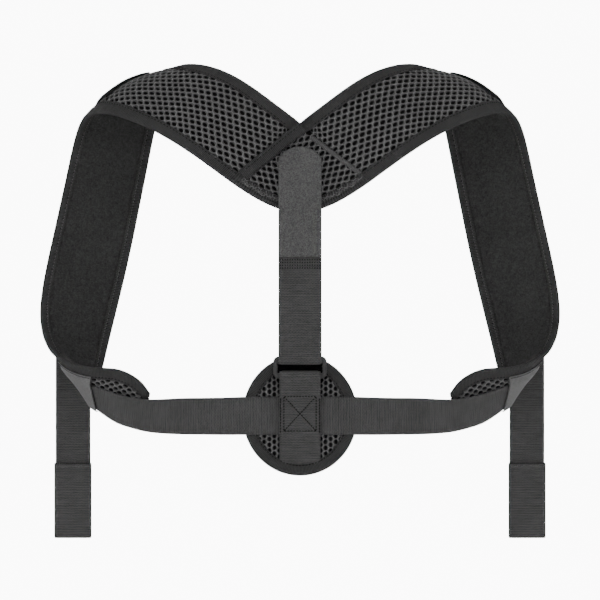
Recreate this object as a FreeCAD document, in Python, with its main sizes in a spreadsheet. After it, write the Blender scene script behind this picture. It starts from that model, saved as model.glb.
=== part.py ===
import FreeCAD, Part
import math
import os

# Back brace: two padded shoulder straps joined by a yoke, an oval spine pad
# hung from the yoke by an adjustable centre strap, side webbings running from
# the spine pad through keepers at the pad ends and hanging as tails.
# Millimetres. +Z up, +Y towards the wearer's back and chest, +X to the right
# seen from behind. Origin: centre of the yoke's flat body-side face.

V = FreeCAD.Vector
doc = FreeCAD.newDocument("brace")
sheet = doc.addObject("Spreadsheet::Sheet", "Sizes")
sizes = [
    ("PadHalf", 3.2), ("CoverThick", 1.3), ("LiningThick", 1.0),
    ("BindWall", 1.0), ("BindFlange", 0.5), ("BindOuter", 9.5), ("BindInner", 7.5),
    ("WebThick", 1.4), ("CentreWide", 36.0), ("CentreTop", 19.2),
    ("LoopWide", 34.2), ("LoopEnd", -244.2),
    ("DiscHalfWide", 48.0), ("DiscHalfTall", 50.5), ("DiscCentre", -204.6),
    ("DiscThick", 6.6), ("DiscRing", 11.5),
    ("BuckleWide", 44.3), ("BuckleTall", 18.4), ("BuckleThick", 3.5),
    ("BuckleTop", -155.3), ("BuckleBar", 5.4), ("BuckleLowBar", 4.4), ("BuckleSide", 3.3),
    ("BuckleBack", -9.6), ("BuckleRound", 2.2), ("BuckleEase", 0.6),
    ("TailWide", 30.8), ("TailMiddle", -200.2), ("TailPlane", 124.0),
    ("TailTop", -145.0), ("TailSeam", -251.9), ("TabWide", 33.0), ("TabLong", 66.5),
    ("TabThick", 1.5), ("HookThick", 0.8),
    ("LandStart", 0.18), ("LandStop", 0.78),
]
for i, (name, val) in enumerate(sizes):
    row = i + 1
    sheet.set("A%d" % row, name)
    sheet.set("B%d" % row, str(val))
    sheet.setAlias("B%d" % row, name)
doc.recompute()
G = lambda n: float(getattr(sheet, n))

# Stations along one padded strap, from the yoke's middle over the shoulder,
# down the front and back under the arm: armhole edge x y z, neck edge x y z,
# and how far the middle of the strap bulges outward.
STATIONS = [
    (0.0, -3.2, -36.4, 0.0, -3.2, 38.3, 0.0),
    (-15.0, -3.2, -32.7, -8.3, -3.2, 44.7, 0.0),
    (-32.3, -3.2, -25.4, -17.8, -3.2, 51.9, 0.0),
    (-51.7, -2.5, -13.5, -28.6, -0.6, 60.2, 0.0),
    (-71.6, -0.6, 0.9, -40.6, 3.5, 69.1, 0.0),
    (-91.2, 3.5, 15.0, -54.2, 10.8, 78.0, 0.0),
    (-110.6, 10.8, 27.6, -69.2, 21.3, 85.5, 0.4),
    (-129.7, 21.6, 38.1, -84.4, 34.3, 90.1, 2.2),
    (-147.9, 35.0, 46.0, -98.1, 48.8, 91.0, 5.6),
    (-164.0, 50.0, 51.0, -108.6, 63.8, 87.4, 8.8),
    (-177.1, 65.8, 52.2, -115.9, 78.3, 78.8, 9.6),
    (-186.7, 81.3, 47.9, -121.2, 91.0, 65.4, 7.6),
    (-193.5, 94.8, 37.5, -125.9, 101.3, 47.6, 4.6),
    (-198.9, 104.8, 21.2, -130.9, 109.0, 25.8, 2.2),
    (-204.2, 111.0, -0.4, -136.3, 114.3, 0.4, 0.8),
    (-210.0, 114.4, -25.3, -142.2, 117.4, -28.0, 0.0),
    (-215.9, 115.7, -51.3, -148.4, 118.9, -58.1, 0.0),
    (-221.5, 114.7, -77.1, -155.0, 118.9, -87.8, 0.0),
    (-225.4, 111.3, -100.3, -161.6, 117.5, -115.5, 0.0),
    (-226.5, 105.4, -120.5, -167.7, 115.0, -140.8, 0.0),
    (-223.5, 96.4, -137.5, -172.8, 111.5, -163.1, 0.0),
    (-216.4, 84.5, -150.2, -176.6, 106.9, -180.4, 0.0),
    (-206.2, 71.8, -158.4, -178.4, 100.7, -191.8, 0.0),
    (-194.5, 60.3, -163.4, -177.3, 92.4, -198.7, 0.0),
    (-181.8, 50.8, -166.4, -172.4, 82.5, -203.0, 0.0),
    (-168.6, 43.0, -168.4, -164.3, 71.9, -205.6, 0.0),
    (-155.9, 36.7, -170.9, -154.5, 61.5, -206.7, 0.0),
    (-145.0, 31.8, -175.0, -144.7, 51.9, -205.5, 0.0),
    (-136.4, 28.9, -180.6, -136.2, 43.2, -201.8, 0.0),
    (-129.8, 27.8, -187.1, -129.8, 35.3, -196.7, 0.0),
]
# Side webbing between the spine pad and the keeper: top edge, bottom edge.
SIDE_WEB = [
    (-0.8, -7.5, -188.8, -0.8, -7.5, -220.8),
    (-31.6, -7.5, -188.8, -31.6, -7.5, -220.8),
    (-46.6, -7.5, -189.0, -46.6, -7.5, -220.8),
    (-62.4, -7.0, -190.5, -62.4, -7.0, -220.9),
    (-80.8, -4.2, -192.2, -80.9, -3.2, -220.9),
    (-98.7, 2.8, -192.5, -98.8, 4.8, -221.1),
    (-113.3, 11.8, -192.8, -114.4, 16.8, -221.1),
    (-129.2, 24.3, -192.4, -131.5, 34.8, -220.3),
    (-146.8, 35.8, -190.3, -150.4, 51.8, -216.2),
    (-161.1, 45.3, -187.3, -164.1, 63.8, -212.0),
]
NS = len(STATIONS)


def cr(rows, c, s):
    # Catmull-Rom value of column c at station number s
    n = len(rows)
    i = min(max(int(math.floor(s)), 0), n - 2)
    u = s - i
    p1 = rows[i][c]
    p2 = rows[i + 1][c]
    p0 = rows[i - 1][c] if i > 0 else 2 * p1 - p2
    p3 = rows[i + 2][c] if i < n - 2 else 2 * p2 - p1
    return 0.5 * (2 * p1 + (p2 - p0) * u + (2 * p0 - 5 * p1 + 4 * p2 - p3) * u * u
                  + (3 * p1 - p0 - 3 * p2 + p3) * u ** 3)


def neck(k):
    # the neck-edge station a ruling from armhole station k reaches: the
    # rulings fan out from the slanted seam where a strap joins the yoke
    if k <= 3.3:
        return k * 0.9 / 3.3
    if k <= 7.0:
        return 0.9 + (k - 3.3) * (6.1 / 3.7)
    return k


def mid(k, v):
    if k < 0:
        p = mid(-k, v)
        return V(-p.x, p.y, p.z)
    a = V(*[cr(STATIONS, c, k) for c in (0, 1, 2)])
    q = neck(k)
    b = V(*[cr(STATIONS, c, q) for c in (3, 4, 5)])
    p = a * (1 - v) + b * v
    bl = cr(STATIONS, 6, min(k, NS - 1))
    if bl > 1e-6 and 0 < v < 1:
        # bulge along the ruling's own outward direction
        e = 0.02
        a2 = V(*[cr(STATIONS, c, min(k + e, NS - 1)) for c in (0, 1, 2)])
        b2 = V(*[cr(STATIONS, c, neck(min(k + e, NS - 1))) for c in (3, 4, 5)])
        n = ((a2 * 0.5 + b2 * 0.5) - (a * 0.5 + b * 0.5)).cross(b - a)
        if n.Length > 1e-9:
            n.normalize()
            p = p - n * (bl * 4 * v * (1 - v))
    return p


def nrm(k, v):
    # unit normal, pointing to the body side of the strap
    e = 0.03
    vv = min(max(v, 0.01), 0.99)
    k0, k1 = k - e, min(k + e, NS - 1)
    dk = mid(k1, vv) - mid(k0, vv)
    dv = mid(k, min(vv + 0.01, 1.0)) - mid(k, max(vv - 0.01, 0.0))
    n = dk.cross(dv)
    n.normalize()
    return n


def pt(k, v, n):
    return mid(k, v) + nrm(k, v) * n


def wide(k):
    return (mid(k, 1) - mid(k, 0)).Length


def wire(pts):
    return Part.makePolygon(list(pts) + [pts[0]])


def tri(a, b, c):
    if (b - a).cross(c - a).Length < 1e-7:
        return []
    return [Part.Face(wire([a, b, c]))]


def loft(secs):
    # closed skin through matching sections: ruled sides where the faces close
    # up cleanly, otherwise flat triangles; ends are strips of triangles
    n = len(secs[0])
    caps = []
    for p in (secs[0], secs[-1]):
        for i in range(n // 2 - 1):
            j = n - 1 - i
            caps += tri(p[i], p[i + 1], p[j]) + tri(p[i + 1], p[j - 1], p[j])
    for flat in (False, True):
        faces = list(caps)
        if flat:
            for p, q in zip(secs, secs[1:]):
                for i in range(n):
                    j = (i + 1) % n
                    faces += tri(p[i], p[j], q[i]) + tri(p[j], q[j], q[i])
        else:
            for p, q in zip(secs, secs[1:]):
                for i in range(n):
                    j = (i + 1) % n
                    m = (p[j] - p[i]).cross(q[i] - p[i])
                    if m.Length > 1e-9 and abs((q[j] - p[i]).dot(m.normalize())) < 1e-7:
                        faces.append(Part.Face(wire([p[i], p[j], q[j], q[i]])))
                    else:
                        faces.append(Part.makeRuledSurface(Part.makeLine(p[i], p[j]), Part.makeLine(q[i], q[j])))
        shell = Part.makeShell(faces)
        shell.sewShape()
        if shell.ShapeType != "Shell":
            shell = shell.Shells[0]
        body = Part.makeSolid(shell)
        if body.Volume < 0:
            body.reverse()
        if body.isValid() and shell.isClosed():
            return body
    raise RuntimeError("skin does not close")


def steps(a, b, n):
    return [a + (b - a) * i / n for i in range(n + 1)]


def mirrored(s):
    return s.mirror(V(0, 0, 0), V(1, 0, 0))


made = []


def put(label, shape):
    o = doc.addObject("Part::Feature", label)
    o.Label = label
    o.Shape = shape
    o.Placement = FreeCAD.Placement(V(0, 0, 0), FreeCAD.Rotation())
    made.append(o)
    return o


def pair(label, shape):
    put("left_" + label, shape)
    put("right_" + label, mirrored(shape))


half = G("PadHalf")
cov = G("CoverThick")
lin = G("LiningThick")
KS = 3.3          # seam of strap and yoke, in stations
KE = NS - 1.0
ACROSS = [0.0, 0.25, 0.5, 0.75, 1.0]


pad_ks = steps(KS, 7.0, 5) + steps(7.0, 14.0, 9)[1:] + steps(14.0, 18.0, 3)[1:] + steps(18.0, KE, 15)[1:]
yoke_ks = steps(-KS, KS, 11)


def slab(k, n0, n1):
    return [pt(k, v, n0) for v in ACROSS] + [pt(k, v, n1) for v in reversed(ACROSS)]


def flat(k, v, n):
    # point on the layers' own facets across the strap
    j = min(max(int(math.floor(v * 4)), 0), 3)
    t = v * 4 - j
    return pt(k, ACROSS[j], n) * (1 - t) + pt(k, ACROSS[j + 1], n) * t


def on(k, v, n):
    # the same, between the sections along the strap
    i = 0
    while i < len(pad_ks) - 2 and k > pad_ks[i + 1]:
        i += 1
    t = (k - pad_ks[i]) / (pad_ks[i + 1] - pad_ks[i])
    return flat(pad_ks[i], v, n) * (1 - t) + flat(pad_ks[i + 1], v, n) * t


def within(a, b):
    return [a] + [k for k in pad_ks if a + 0.05 < k < b - 0.05] + [b]


# padded straps: mesh cover, foam core, plush lining
pair("pad_cover", loft([slab(k, -half, -half + cov) for k in pad_ks]))
pair("pad_core", loft([slab(k, -half + cov, half - lin) for k in pad_ks]))
pair("pad_lining", loft([slab(k, half - lin, half) for k in pad_ks]))
put("yoke_cover", loft([slab(k, -half, -half + cov) for k in yoke_ks]))
put("yoke_core", loft([slab(k, -half + cov, half - lin) for k in yoke_ks]))
put("yoke_lining", loft([slab(k, half - lin, half) for k in yoke_ks]))

# binding tape, C-shaped round the edges
bw, bf, bo, bi = G("BindWall"), G("BindFlange"), G("BindOuter"), G("BindInner")


def bind_sec(k, side):
    w = wide(k)
    lim = 0.47 * w
    o, i = min(bo, lim), min(bi, lim)
    g = 0.06
    prof = [(o, -half - bf), (-bw, -half - bf), (-bw, half + bf), (i, half + bf),
            (i, half + g), (-g, half + g), (-g, -half - g), (o, -half - g)]
    out = []
    for u, n in prof:
        v = u / w if side == 0 else 1 - u / w
        if u >= 0:
            out.append(flat(k, v, n))
        else:
            e = 0.0 if side == 0 else 1.0
            d = mid(k, 0.06) - mid(k, 0.0) if side == 0 else mid(k, 0.94) - mid(k, 1.0)
            d.normalize()
            out.append(pt(k, e, n) + d * u)
    return out


arm = loft([bind_sec(k, 0) for k in pad_ks])
top = loft([bind_sec(k, 1) for k in pad_ks])
pair("armhole_binding", arm)
pair("neck_binding", top)
put("yoke_binding", loft([bind_sec(k, 0) for k in yoke_ks]))

# seam band where each strap is sewn to the yoke
band = []
for v in steps(0.17, 0.83, 6):
    band.append([pt(KS - 0.30, v, -half - 0.15), pt(KS + 0.32, v, -half - 0.15),
                 pt(KS + 0.32, v, -half - 0.8), pt(KS - 0.30, v, -half - 0.8)])
pair("seam_band", loft(band))

# loop landing strip on the outer face, from the shoulder ridge down the front
l0, l1 = G("LandStart"), G("LandStop")
land_vs = [l0, 0.25, 0.5, 0.75, l1]
pair("landing_strip", loft([[on(k, v, -half - 1.6) for v in land_vs] + [on(k, v, -half - 0.25) for v in reversed(land_vs)]
                            for k in within(9.4, 18.6)]))

# side webbing: free run, then along the outside of the pad end
web = G("WebThick")


def web_edges():
    rows = []
    for s in steps(0, len(SIDE_WEB) - 1, 18):
        rows.append((V(*[cr(SIDE_WEB, c, s) for c in (0, 1, 2)]),
                     V(*[cr(SIDE_WEB, c, s) for c in (3, 4, 5)])))
    off = -half - bf - 0.5 - web / 2
    for k in reversed(within(20.0, 23.6)):
        f = (23.6 - k) / 3.6
        rows.append((on(k, 0.30 - 0.08 * f, off), on(k, 0.93 - 0.13 * f, off)))
    tp, tt, tw = G("TailPlane"), G("TailTop"), G("TailWide") / 2
    tm = G("TailMiddle")
    rows.append((V(tm - tw, 112.0, tt + 3.0), V(tm + tw, 113.4, tt - 2.0)))
    return rows


def ribbon(rows, thick):
    n = len(rows)
    secs = []
    for i in range(n):
        a, b = rows[i]
        p0, p1 = rows[max(i - 1, 0)], rows[min(i + 1, n - 1)]
        out = []
        for j in (0, 1):
            dk = p1[j] - p0[j]
            m = dk.cross(b - a)
            m.normalize()
            out.append(m * (thick / 2))
        secs.append([a + out[0], b + out[1], b - out[1], a - out[0]])
    return loft(secs)


pair("webbing", ribbon(web_edges(), web))

# keeper: webbing patch sewn over the pad end, the side webbing runs under it
kin = -half - bf - 0.5 - web - 0.5


def keeper_sec(k):
    prof = [(0.14, -half - 0.6), (0.22, -half - 0.6), (0.27, kin), (0.96, kin), (0.99, -half - bf - 0.1)]
    inner = [on(k, v, n) for v, n in prof]
    outer = [on(k, v, n - 1.2) for v, n in reversed(prof)]
    return inner + outer


pair("keeper", loft([keeper_sec(k) for k in within(21.6, 24.2)]))

# spine pad layers, ellipses extruded towards the viewer
def ellipse(label, a, b):
    e = doc.addObject("Part::Ellipse", label)
    e.setExpression("MajorRadius", b)
    e.setExpression("MinorRadius", a)
    e.Angle1 = 0
    e.Angle2 = 360
    return e


def extrude(label, base, length, back):
    x = doc.addObject("Part::Extrusion", label)
    x.Base = base
    x.DirMode = "Custom"
    x.Dir = V(0, 0, 1)
    x.Solid = True
    x.setExpression("LengthFwd", length)
    # the ellipse's long axis upright, extrusion towards -Y
    x.Placement = FreeCAD.Placement(V(0, back, G("DiscCentre")),
                                    FreeCAD.Rotation(V(0, 0, 1), V(0, 0, 0), V(0, -1, 0), "ZXY"))
    return x


inner_a, inner_b = "Sizes.DiscHalfWide - 1.4", "Sizes.DiscHalfTall - 1.4"
hollow_a, hollow_b = "Sizes.DiscHalfWide - 1.2", "Sizes.DiscHalfTall - 1.2"
doc.recompute()
dt = G("DiscThick")
# the lining: a sheet under the binding and the plush face standing in its window
sheet_e = ellipse("disc_lining_line", inner_a, inner_b)
sheet_x = extrude("disc_lining_sheet", sheet_e, "Sizes.LiningThick - 0.1", -0.6)
puff_e = ellipse("disc_puff_line", "Sizes.DiscHalfWide - Sizes.DiscRing - 0.3", "Sizes.DiscHalfTall - Sizes.DiscRing - 0.3")
puff_x = extrude("disc_lining_puff", puff_e, "1.2", 0.4)
lining = doc.addObject("Part::Fuse", "disc_lining")
lining.Base, lining.Tool = sheet_x, puff_x
lining.Label = "disc_lining"
made.append(lining)
for label, length, back in (("disc_core", "Sizes.DiscThick - 2 * Sizes.LiningThick - 1.4", -1.6),
                            ("disc_cover", "Sizes.CoverThick - 0.1", -dt + 1.3 + 0.5)):
    e = ellipse(label + "_line", inner_a, inner_b)
    x = extrude(label, e, length, back)
    x.Label = label
    made.append(x)
outer_e = ellipse("disc_edge_line", "Sizes.DiscHalfWide", "Sizes.DiscHalfTall")
outer_x = extrude("disc_edge_block", outer_e, "Sizes.DiscThick", 0.0)
hole_e = ellipse("disc_window_line", "Sizes.DiscHalfWide - Sizes.DiscRing", "Sizes.DiscHalfTall - Sizes.DiscRing")
hole_x = extrude("disc_window_block", hole_e, "Sizes.DiscThick + 4", 2.0)
body_e = ellipse("disc_body_line", hollow_a, hollow_b)
body_x = extrude("disc_body_block", body_e, "Sizes.DiscThick - 1.0", -0.5)
cut1 = doc.addObject("Part::Cut", "disc_ring_cut")
cut1.Base, cut1.Tool = outer_x, hole_x
ring = doc.addObject("Part::Cut", "disc_binding")
ring.Base, ring.Tool = cut1, body_x
ring.Label = "disc_binding"
made.append(ring)


# flat straps given as closed outlines in the YZ plane, extruded across X
def yz_strap(label, outline, width):
    f = Part.Face(wire([V(-width / 2, y, z) for y, z in outline]))
    return put(label, f.extrude(V(width, 0, 0)))


def path_strap(path, thick, closed_end=True):
    # outline of a strap of given thickness along an open YZ path
    left, right = [], []
    n = len(path)
    for i in range(n):
        y0, z0 = path[max(i - 1, 0)]
        y1, z1 = path[min(i + 1, n - 1)]
        dy, dz = y1 - y0, z1 - z0
        ln = math.hypot(dy, dz)
        nx, nz = -dz / ln * thick / 2, dy / ln * thick / 2
        y, z = path[i]
        left.append((y + nx, z + nz))
        right.append((y - nx, z - nz))
    return left + right[::-1]


cw, lw = G("CentreWide"), G("LoopWide")
bt, bb = G("BuckleTop"), G("BuckleBack")
bth = G("BuckleThick")
top_bar_low = bt - G("BuckleBar")
low_bar_top = bt - G("BuckleTall") + G("BuckleLowBar")
half_w = web / 2
yb = bb + 0.25 + half_w                # strap behind the bars
yf = bb - bth - 0.25 - half_w          # strap in front of the bars
y_back = -half - half - 0.9 - half_w + 0.0     # strap lying on the yoke
y_tail = y_back - web - 1.15                   # the returning tail layer

# centre strap, layer sewn to the yoke and running down behind the buckle
yz_strap("strap_back", path_strap([(y_back, 6.0), (y_back, -60.0), (y_back, -130.0),
                                   (yb, -148.0), (yb, bt + 1.0)], web), cw)
# turn round the buckle's upper bar
arc = []
zc = top_bar_low - 0.25 - half_w
rr = (yb - yf) / 2
ym = (yb + yf) / 2
arc.append((yb, bt + 0.7))
arc.append((yb, top_bar_low + 0.8))
rc = rr - bth / 2          # round each lower corner of the bar
for side, a0 in ((1, 0), (-1, 90)):
    for a in range(a0, a0 + 91, 15):
        arc.append((ym + side * bth / 2 + rc * math.cos(math.radians(a)), top_bar_low - 0.02 - rc * math.sin(math.radians(a))))
arc.append((yf, top_bar_low + 0.8))
arc.append((yf, bt + 0.7))
yz_strap("strap_turn", path_strap(arc, web), cw)
# returning layer from the buckle up to the stitch rows
yz_strap("strap_return", path_strap([(yf, bt + 1.0), (yf, -150.0), (yf + 0.6, -140.0), (y_tail, -118.0),
                                     (y_tail, -100.0), (y_tail, -82.6)], web), cw)
# sewn joint of webbing and hook-and-loop part
yz_strap("strap_joint", path_strap([(y_tail, -82.0), (y_tail, -73.9)], web), cw)


# tail tab with its flattened-arc end
def arc_end(label, y0, thick, width, z0, z1, rise):
    w = width / 2
    e = Part.Wire([
        Part.LineSegment(V(-w, y0, z0), V(w, y0, z0)).toShape(),
        Part.LineSegment(V(w, y0, z0), V(w, y0, z1 - rise)).toShape(),
        Part.Arc(V(w, y0, z1 - rise), V(0, y0, z1), V(-w, y0, z1 - rise)).toShape(),
        Part.LineSegment(V(-w, y0, z1 - rise), V(-w, y0, z0)).toShape(),
    ])
    return put(label, Part.Face(e).extrude(V(0, thick, 0)))


ct = G("CentreTop")
arc_end("tail_tab", y_tail - half_w, web, cw, -73.3, ct, 10.0)
arc_end("tail_hook_patch", y_tail + half_w + 0.05, 0.6, cw - 4.0, -62.0, ct - 3.0, 9.0)
arc_end("tail_loop_face", y_tail - half_w - 0.65, 0.6, cw - 0.6, -72.9, ct - 0.3, 10.0)


# stitching as fine raised threads
def thread(p, q, r=0.35):
    d = q - p
    return Part.makeCylinder(r, d.Length, p, d)


def stitches(label, lines, r=0.35, share=None):
    parts = [thread(p, q, r) for p, q in lines]
    s = parts[0].multiFuse(parts[1:]) if len(parts) > 1 else parts[0]
    return s


ys = y_tail - half_w - 0.38
rows = []
for z in (-74.6, -77.0, -79.2, -81.4):
    rows.append((V(-16.5, ys, z), V(16.5, ys, z)))
rows.append((V(-16.5, ys, -81.4), V(-16.5, ys, -74.6)))
put("joint_stitches", stitches("joint_stitches", rows))

# loop webbing: from the spine pad up, round the lower bar and back down
y_l1 = -dt - 0.2 - web - 0.25 - half_w         # layer lying over the side webbing
y_l0 = y_l1 - web - 0.1
le = G("LoopEnd")
low = bt - G("BuckleTall")
slack = 1.25
ylb, ylf = bb + slack + half_w, bb - bth - slack - half_w
rl = (ylb - ylf) / 2
path = [(y_l1, le + 1.0), (y_l1, -187.0), (ylb, -181.0), (ylb, low_bar_top - 0.6)]
for a in range(0, 181, 20):
    path.append((ym + rl * math.cos(math.radians(a)), low_bar_top - 0.5 + (0.5 + 0.7 + half_w) * math.sin(math.radians(a))))
path += [(ylf, low_bar_top - 0.6), (ylf, -177.0), (y_l0, -188.5), (y_l0, le)]
yz_strap("loop_webbing", path_strap(path, web), lw)

yx = y_l0 - half_w - 0.38
zx0, zx1, xw = -217.5, -189.6, 13.4
box = [(V(-xw, yx, zx0), V(xw, yx, zx0)), (V(xw, yx, zx0), V(xw, yx, zx1)),
       (V(xw, yx, zx1), V(-xw, yx, zx1)), (V(-xw, yx, zx1), V(-xw, yx, zx0)),
       (V(-xw, yx, zx0), V(xw, yx, zx1)), (V(-xw, yx, zx1), V(xw, yx, zx0))]
put("box_stitches", stitches("box_stitches", box))

# moulded two-bar buckle
buckle = doc.addObject("PartDesign::Body", "buckle_frame")
buckle.Label = "buckle_frame"


def plane(body, role):
    for f in body.Origin.OriginFeatures:
        if f.Role == role:
            return f


def rect(body, name, w, z0, z1):
    s = body.newObject("Sketcher::SketchObject", name)
    s.AttachmentSupport = (plane(body, "XZ_Plane"), [""])
    s.MapMode = "FlatFace"
    p = [V(-10, -5, 0), V(10, -5, 0), V(10, 5, 0), V(-10, 5, 0)]
    import Sketcher
    for i in range(4):
        s.addGeometry(Part.LineSegment(p[i], p[(i + 1) % 4]), False)
    for i in range(4):
        s.addConstraint(Sketcher.Constraint("Coincident", i, 2, (i + 1) % 4, 1))
    s.addConstraint(Sketcher.Constraint("Horizontal", 2))
    s.addConstraint(Sketcher.Constraint("Vertical", 1))
    s.addConstraint(Sketcher.Constraint("Vertical", 3))
    s.addConstraint(Sketcher.Constraint("Symmetric", 0, 1, 0, 2, -2))
    a = s.addConstraint(Sketcher.Constraint("DistanceX", 0, 1, 0, 2, 20.0))
    b = s.addConstraint(Sketcher.Constraint("DistanceY", 1, 1, 1, 2, 10.0))
    c = s.addConstraint(Sketcher.Constraint("DistanceY", 0, 1, -1, 1, 5.0))
    s.setExpression("Constraints[%d]" % a, w)
    s.setExpression("Constraints[%d]" % b, z1)
    s.setExpression("Constraints[%d]" % c, z0)
    return s


sk = rect(buckle, "buckle_outline", "Sizes.BuckleWide", "Sizes.BuckleTall", "Sizes.BuckleTall")
padf = buckle.newObject("PartDesign::Pad", "buckle_plate")
padf.Profile = sk
padf.setExpression("Length", "Sizes.BuckleThick")
doc.recompute()
sk2 = rect(buckle, "buckle_window", "Sizes.BuckleWide - 2 * Sizes.BuckleSide",
           "Sizes.BuckleTall - Sizes.BuckleLowBar", "Sizes.BuckleTall - Sizes.BuckleLowBar - Sizes.BuckleBar")
poc = buckle.newObject("PartDesign::Pocket", "buckle_opening")
poc.Profile = sk2
poc.setExpression("Length", "Sizes.BuckleThick + 1")
doc.recompute()
solid_vol = G("BuckleWide") * G("BuckleTall") * G("BuckleThick")
if poc.Shape.isNull() or not poc.Shape.isValid() or not poc.Shape.Volume < 0.85 * solid_vol:
    poc.Reversed = True
    doc.recompute()
upright = []
for i, e in enumerate(poc.Shape.Edges):
    bx = e.BoundBox
    if bx.YLength > 1.0 and bx.XLength < 0.01 and bx.ZLength < 0.01 and abs(bx.XMax) > 20:
        upright.append("Edge%d" % (i + 1))
fil = buckle.newObject("PartDesign::Fillet", "buckle_corners")
fil.Base = (poc, upright)
fil.setExpression("Radius", "Sizes.BuckleRound")
doc.recompute()
edges = []
ymin = fil.Shape.BoundBox.YMin
for i, e in enumerate(fil.Shape.Edges):
    bx = e.BoundBox
    if bx.YLength < 0.01:
        outer = bx.XMax > 21.0 or bx.XMin < -21.0 or abs(bx.ZMax) < 0.01 or bx.ZMin < -18.3
        if outer:
            edges.append("Edge%d" % (i + 1))
cham = buckle.newObject("PartDesign::Chamfer", "buckle_edges")
cham.Base = (fil, edges)
cham.setExpression("Size", "Sizes.BuckleEase")
buckle.Tip = cham
doc.recompute()
buckle.Placement = FreeCAD.Placement(V(0, bb, bt), FreeCAD.Rotation())
made.append(buckle)


# hanging tails with their sewn hook tabs
def tail_box(label, w, l, th, x, y, z):
    b = doc.addObject("Part::Box", label)
    b.Label = label
    b.setExpression("Length", w)
    b.setExpression("Width", th)
    b.setExpression("Height", l)
    b.Placement = FreeCAD.Placement(V(x, y, z), FreeCAD.Rotation())
    made.append(b)
    return b


tw, tabw = G("TailWide"), G("TabWide")
tm, tp = G("TailMiddle"), G("TailPlane")
seam, ttop = G("TailSeam"), G("TailTop")
tail_path = [(tp - 4.8, ttop + 5.5), (tp - 2.6, ttop + 6.2), (tp + 0.3, ttop + 3.2), (tp + 0.7, ttop - 3.0),
             (tp + 0.7, ttop - 20.0), (tp + 0.7, seam - 6.0)]
outline = path_strap(tail_path, web)
f = Part.Face(wire([V(tm - tw / 2, y, z) for y, z in outline]))
strap = f.extrude(V(tw, 0, 0))
pair("tail_strap", strap)
for side, sx in (("left", 1), ("right", -1)):
    cx = tm if sx > 0 else -tm
    tail_box(side + "_hook_tab", "Sizes.TabWide", "Sizes.TabLong", "Sizes.TabThick",
             cx - tabw / 2, tp - 0.2 - G("TabThick"), seam - G("TabLong"))
    tail_box(side + "_hook_pad", "Sizes.TabWide - 2.4", "Sizes.TabLong - 9.0", "Sizes.HookThick",
             cx - tabw / 2 + 1.2, tp - 0.15, seam - G("TabLong") + 1.2)
ysm = tp - 0.2 - G("TabThick") - 0.38
sm = stitches("seam", [(V(tm - 14.5, ysm, seam - 2.5), V(tm + 14.5, ysm, seam - 2.5))])
pair("tab_stitches", sm)

doc.recompute()
os.makedirs("parts", exist_ok=True)
names = set()
for o in made:
    bad = [x for x in o.State if x in ("Invalid", "Error")]
    if bad or o.Shape.isNull() or not o.Shape.isValid():
        raise RuntimeError("bad shape: %s %s valid=%s" % (o.Label, o.State, o.Shape.isValid()))
    if len(o.Shape.Solids) != 1:
        print("solids", o.Label, len(o.Shape.Solids))
    if o.Label in names:
        raise RuntimeError("name used twice: " + o.Label)
    names.add(o.Label)
    o.Shape.exportStep("parts/%s.step" % o.Label)
    b = o.Shape.BoundBox
    print("%-20s vol %9.1f  x %7.1f %7.1f  y %7.1f %7.1f  z %7.1f %7.1f" % (
        o.Label, o.Shape.Volume, b.XMin, b.XMax, b.YMin, b.YMax, b.ZMin, b.ZMax))
for o in doc.Objects:
    if any(x in ("Invalid", "Error") for x in o.State):
        raise RuntimeError("bad object: " + o.Label)
print("parts", len(made))
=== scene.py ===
import bpy
import math
import numpy as np
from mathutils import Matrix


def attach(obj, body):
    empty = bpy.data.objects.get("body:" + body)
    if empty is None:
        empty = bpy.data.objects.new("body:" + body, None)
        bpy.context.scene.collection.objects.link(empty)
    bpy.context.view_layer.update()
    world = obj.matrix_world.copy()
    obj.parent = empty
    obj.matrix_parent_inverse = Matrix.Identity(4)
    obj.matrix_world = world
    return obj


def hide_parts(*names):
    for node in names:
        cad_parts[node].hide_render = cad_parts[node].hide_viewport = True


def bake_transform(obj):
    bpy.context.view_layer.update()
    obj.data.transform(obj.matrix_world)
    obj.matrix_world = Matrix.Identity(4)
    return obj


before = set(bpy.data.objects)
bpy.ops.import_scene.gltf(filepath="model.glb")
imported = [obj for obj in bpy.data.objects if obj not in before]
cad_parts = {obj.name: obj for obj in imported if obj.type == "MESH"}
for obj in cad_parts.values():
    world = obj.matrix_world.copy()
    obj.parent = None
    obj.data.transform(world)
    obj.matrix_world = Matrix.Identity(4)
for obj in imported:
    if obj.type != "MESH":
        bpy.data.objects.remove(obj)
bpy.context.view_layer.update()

# ---------------------------------------------------------------- camera
cam_data = bpy.data.cameras.new("camera")
cam_data.sensor_width = 36.0
cam_data.lens = 158.1
cam_data.clip_start, cam_data.clip_end = 0.05, 50.0
cam = bpy.data.objects.new("camera", cam_data)
cam.location = (0.0, -2.2, -0.1085)
cam.rotation_euler = (math.radians(90), 0, 0)
bpy.context.collection.objects.link(cam)
bpy.context.scene.camera = cam

MM = 0.001
rng = np.random.default_rng(7)

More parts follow.
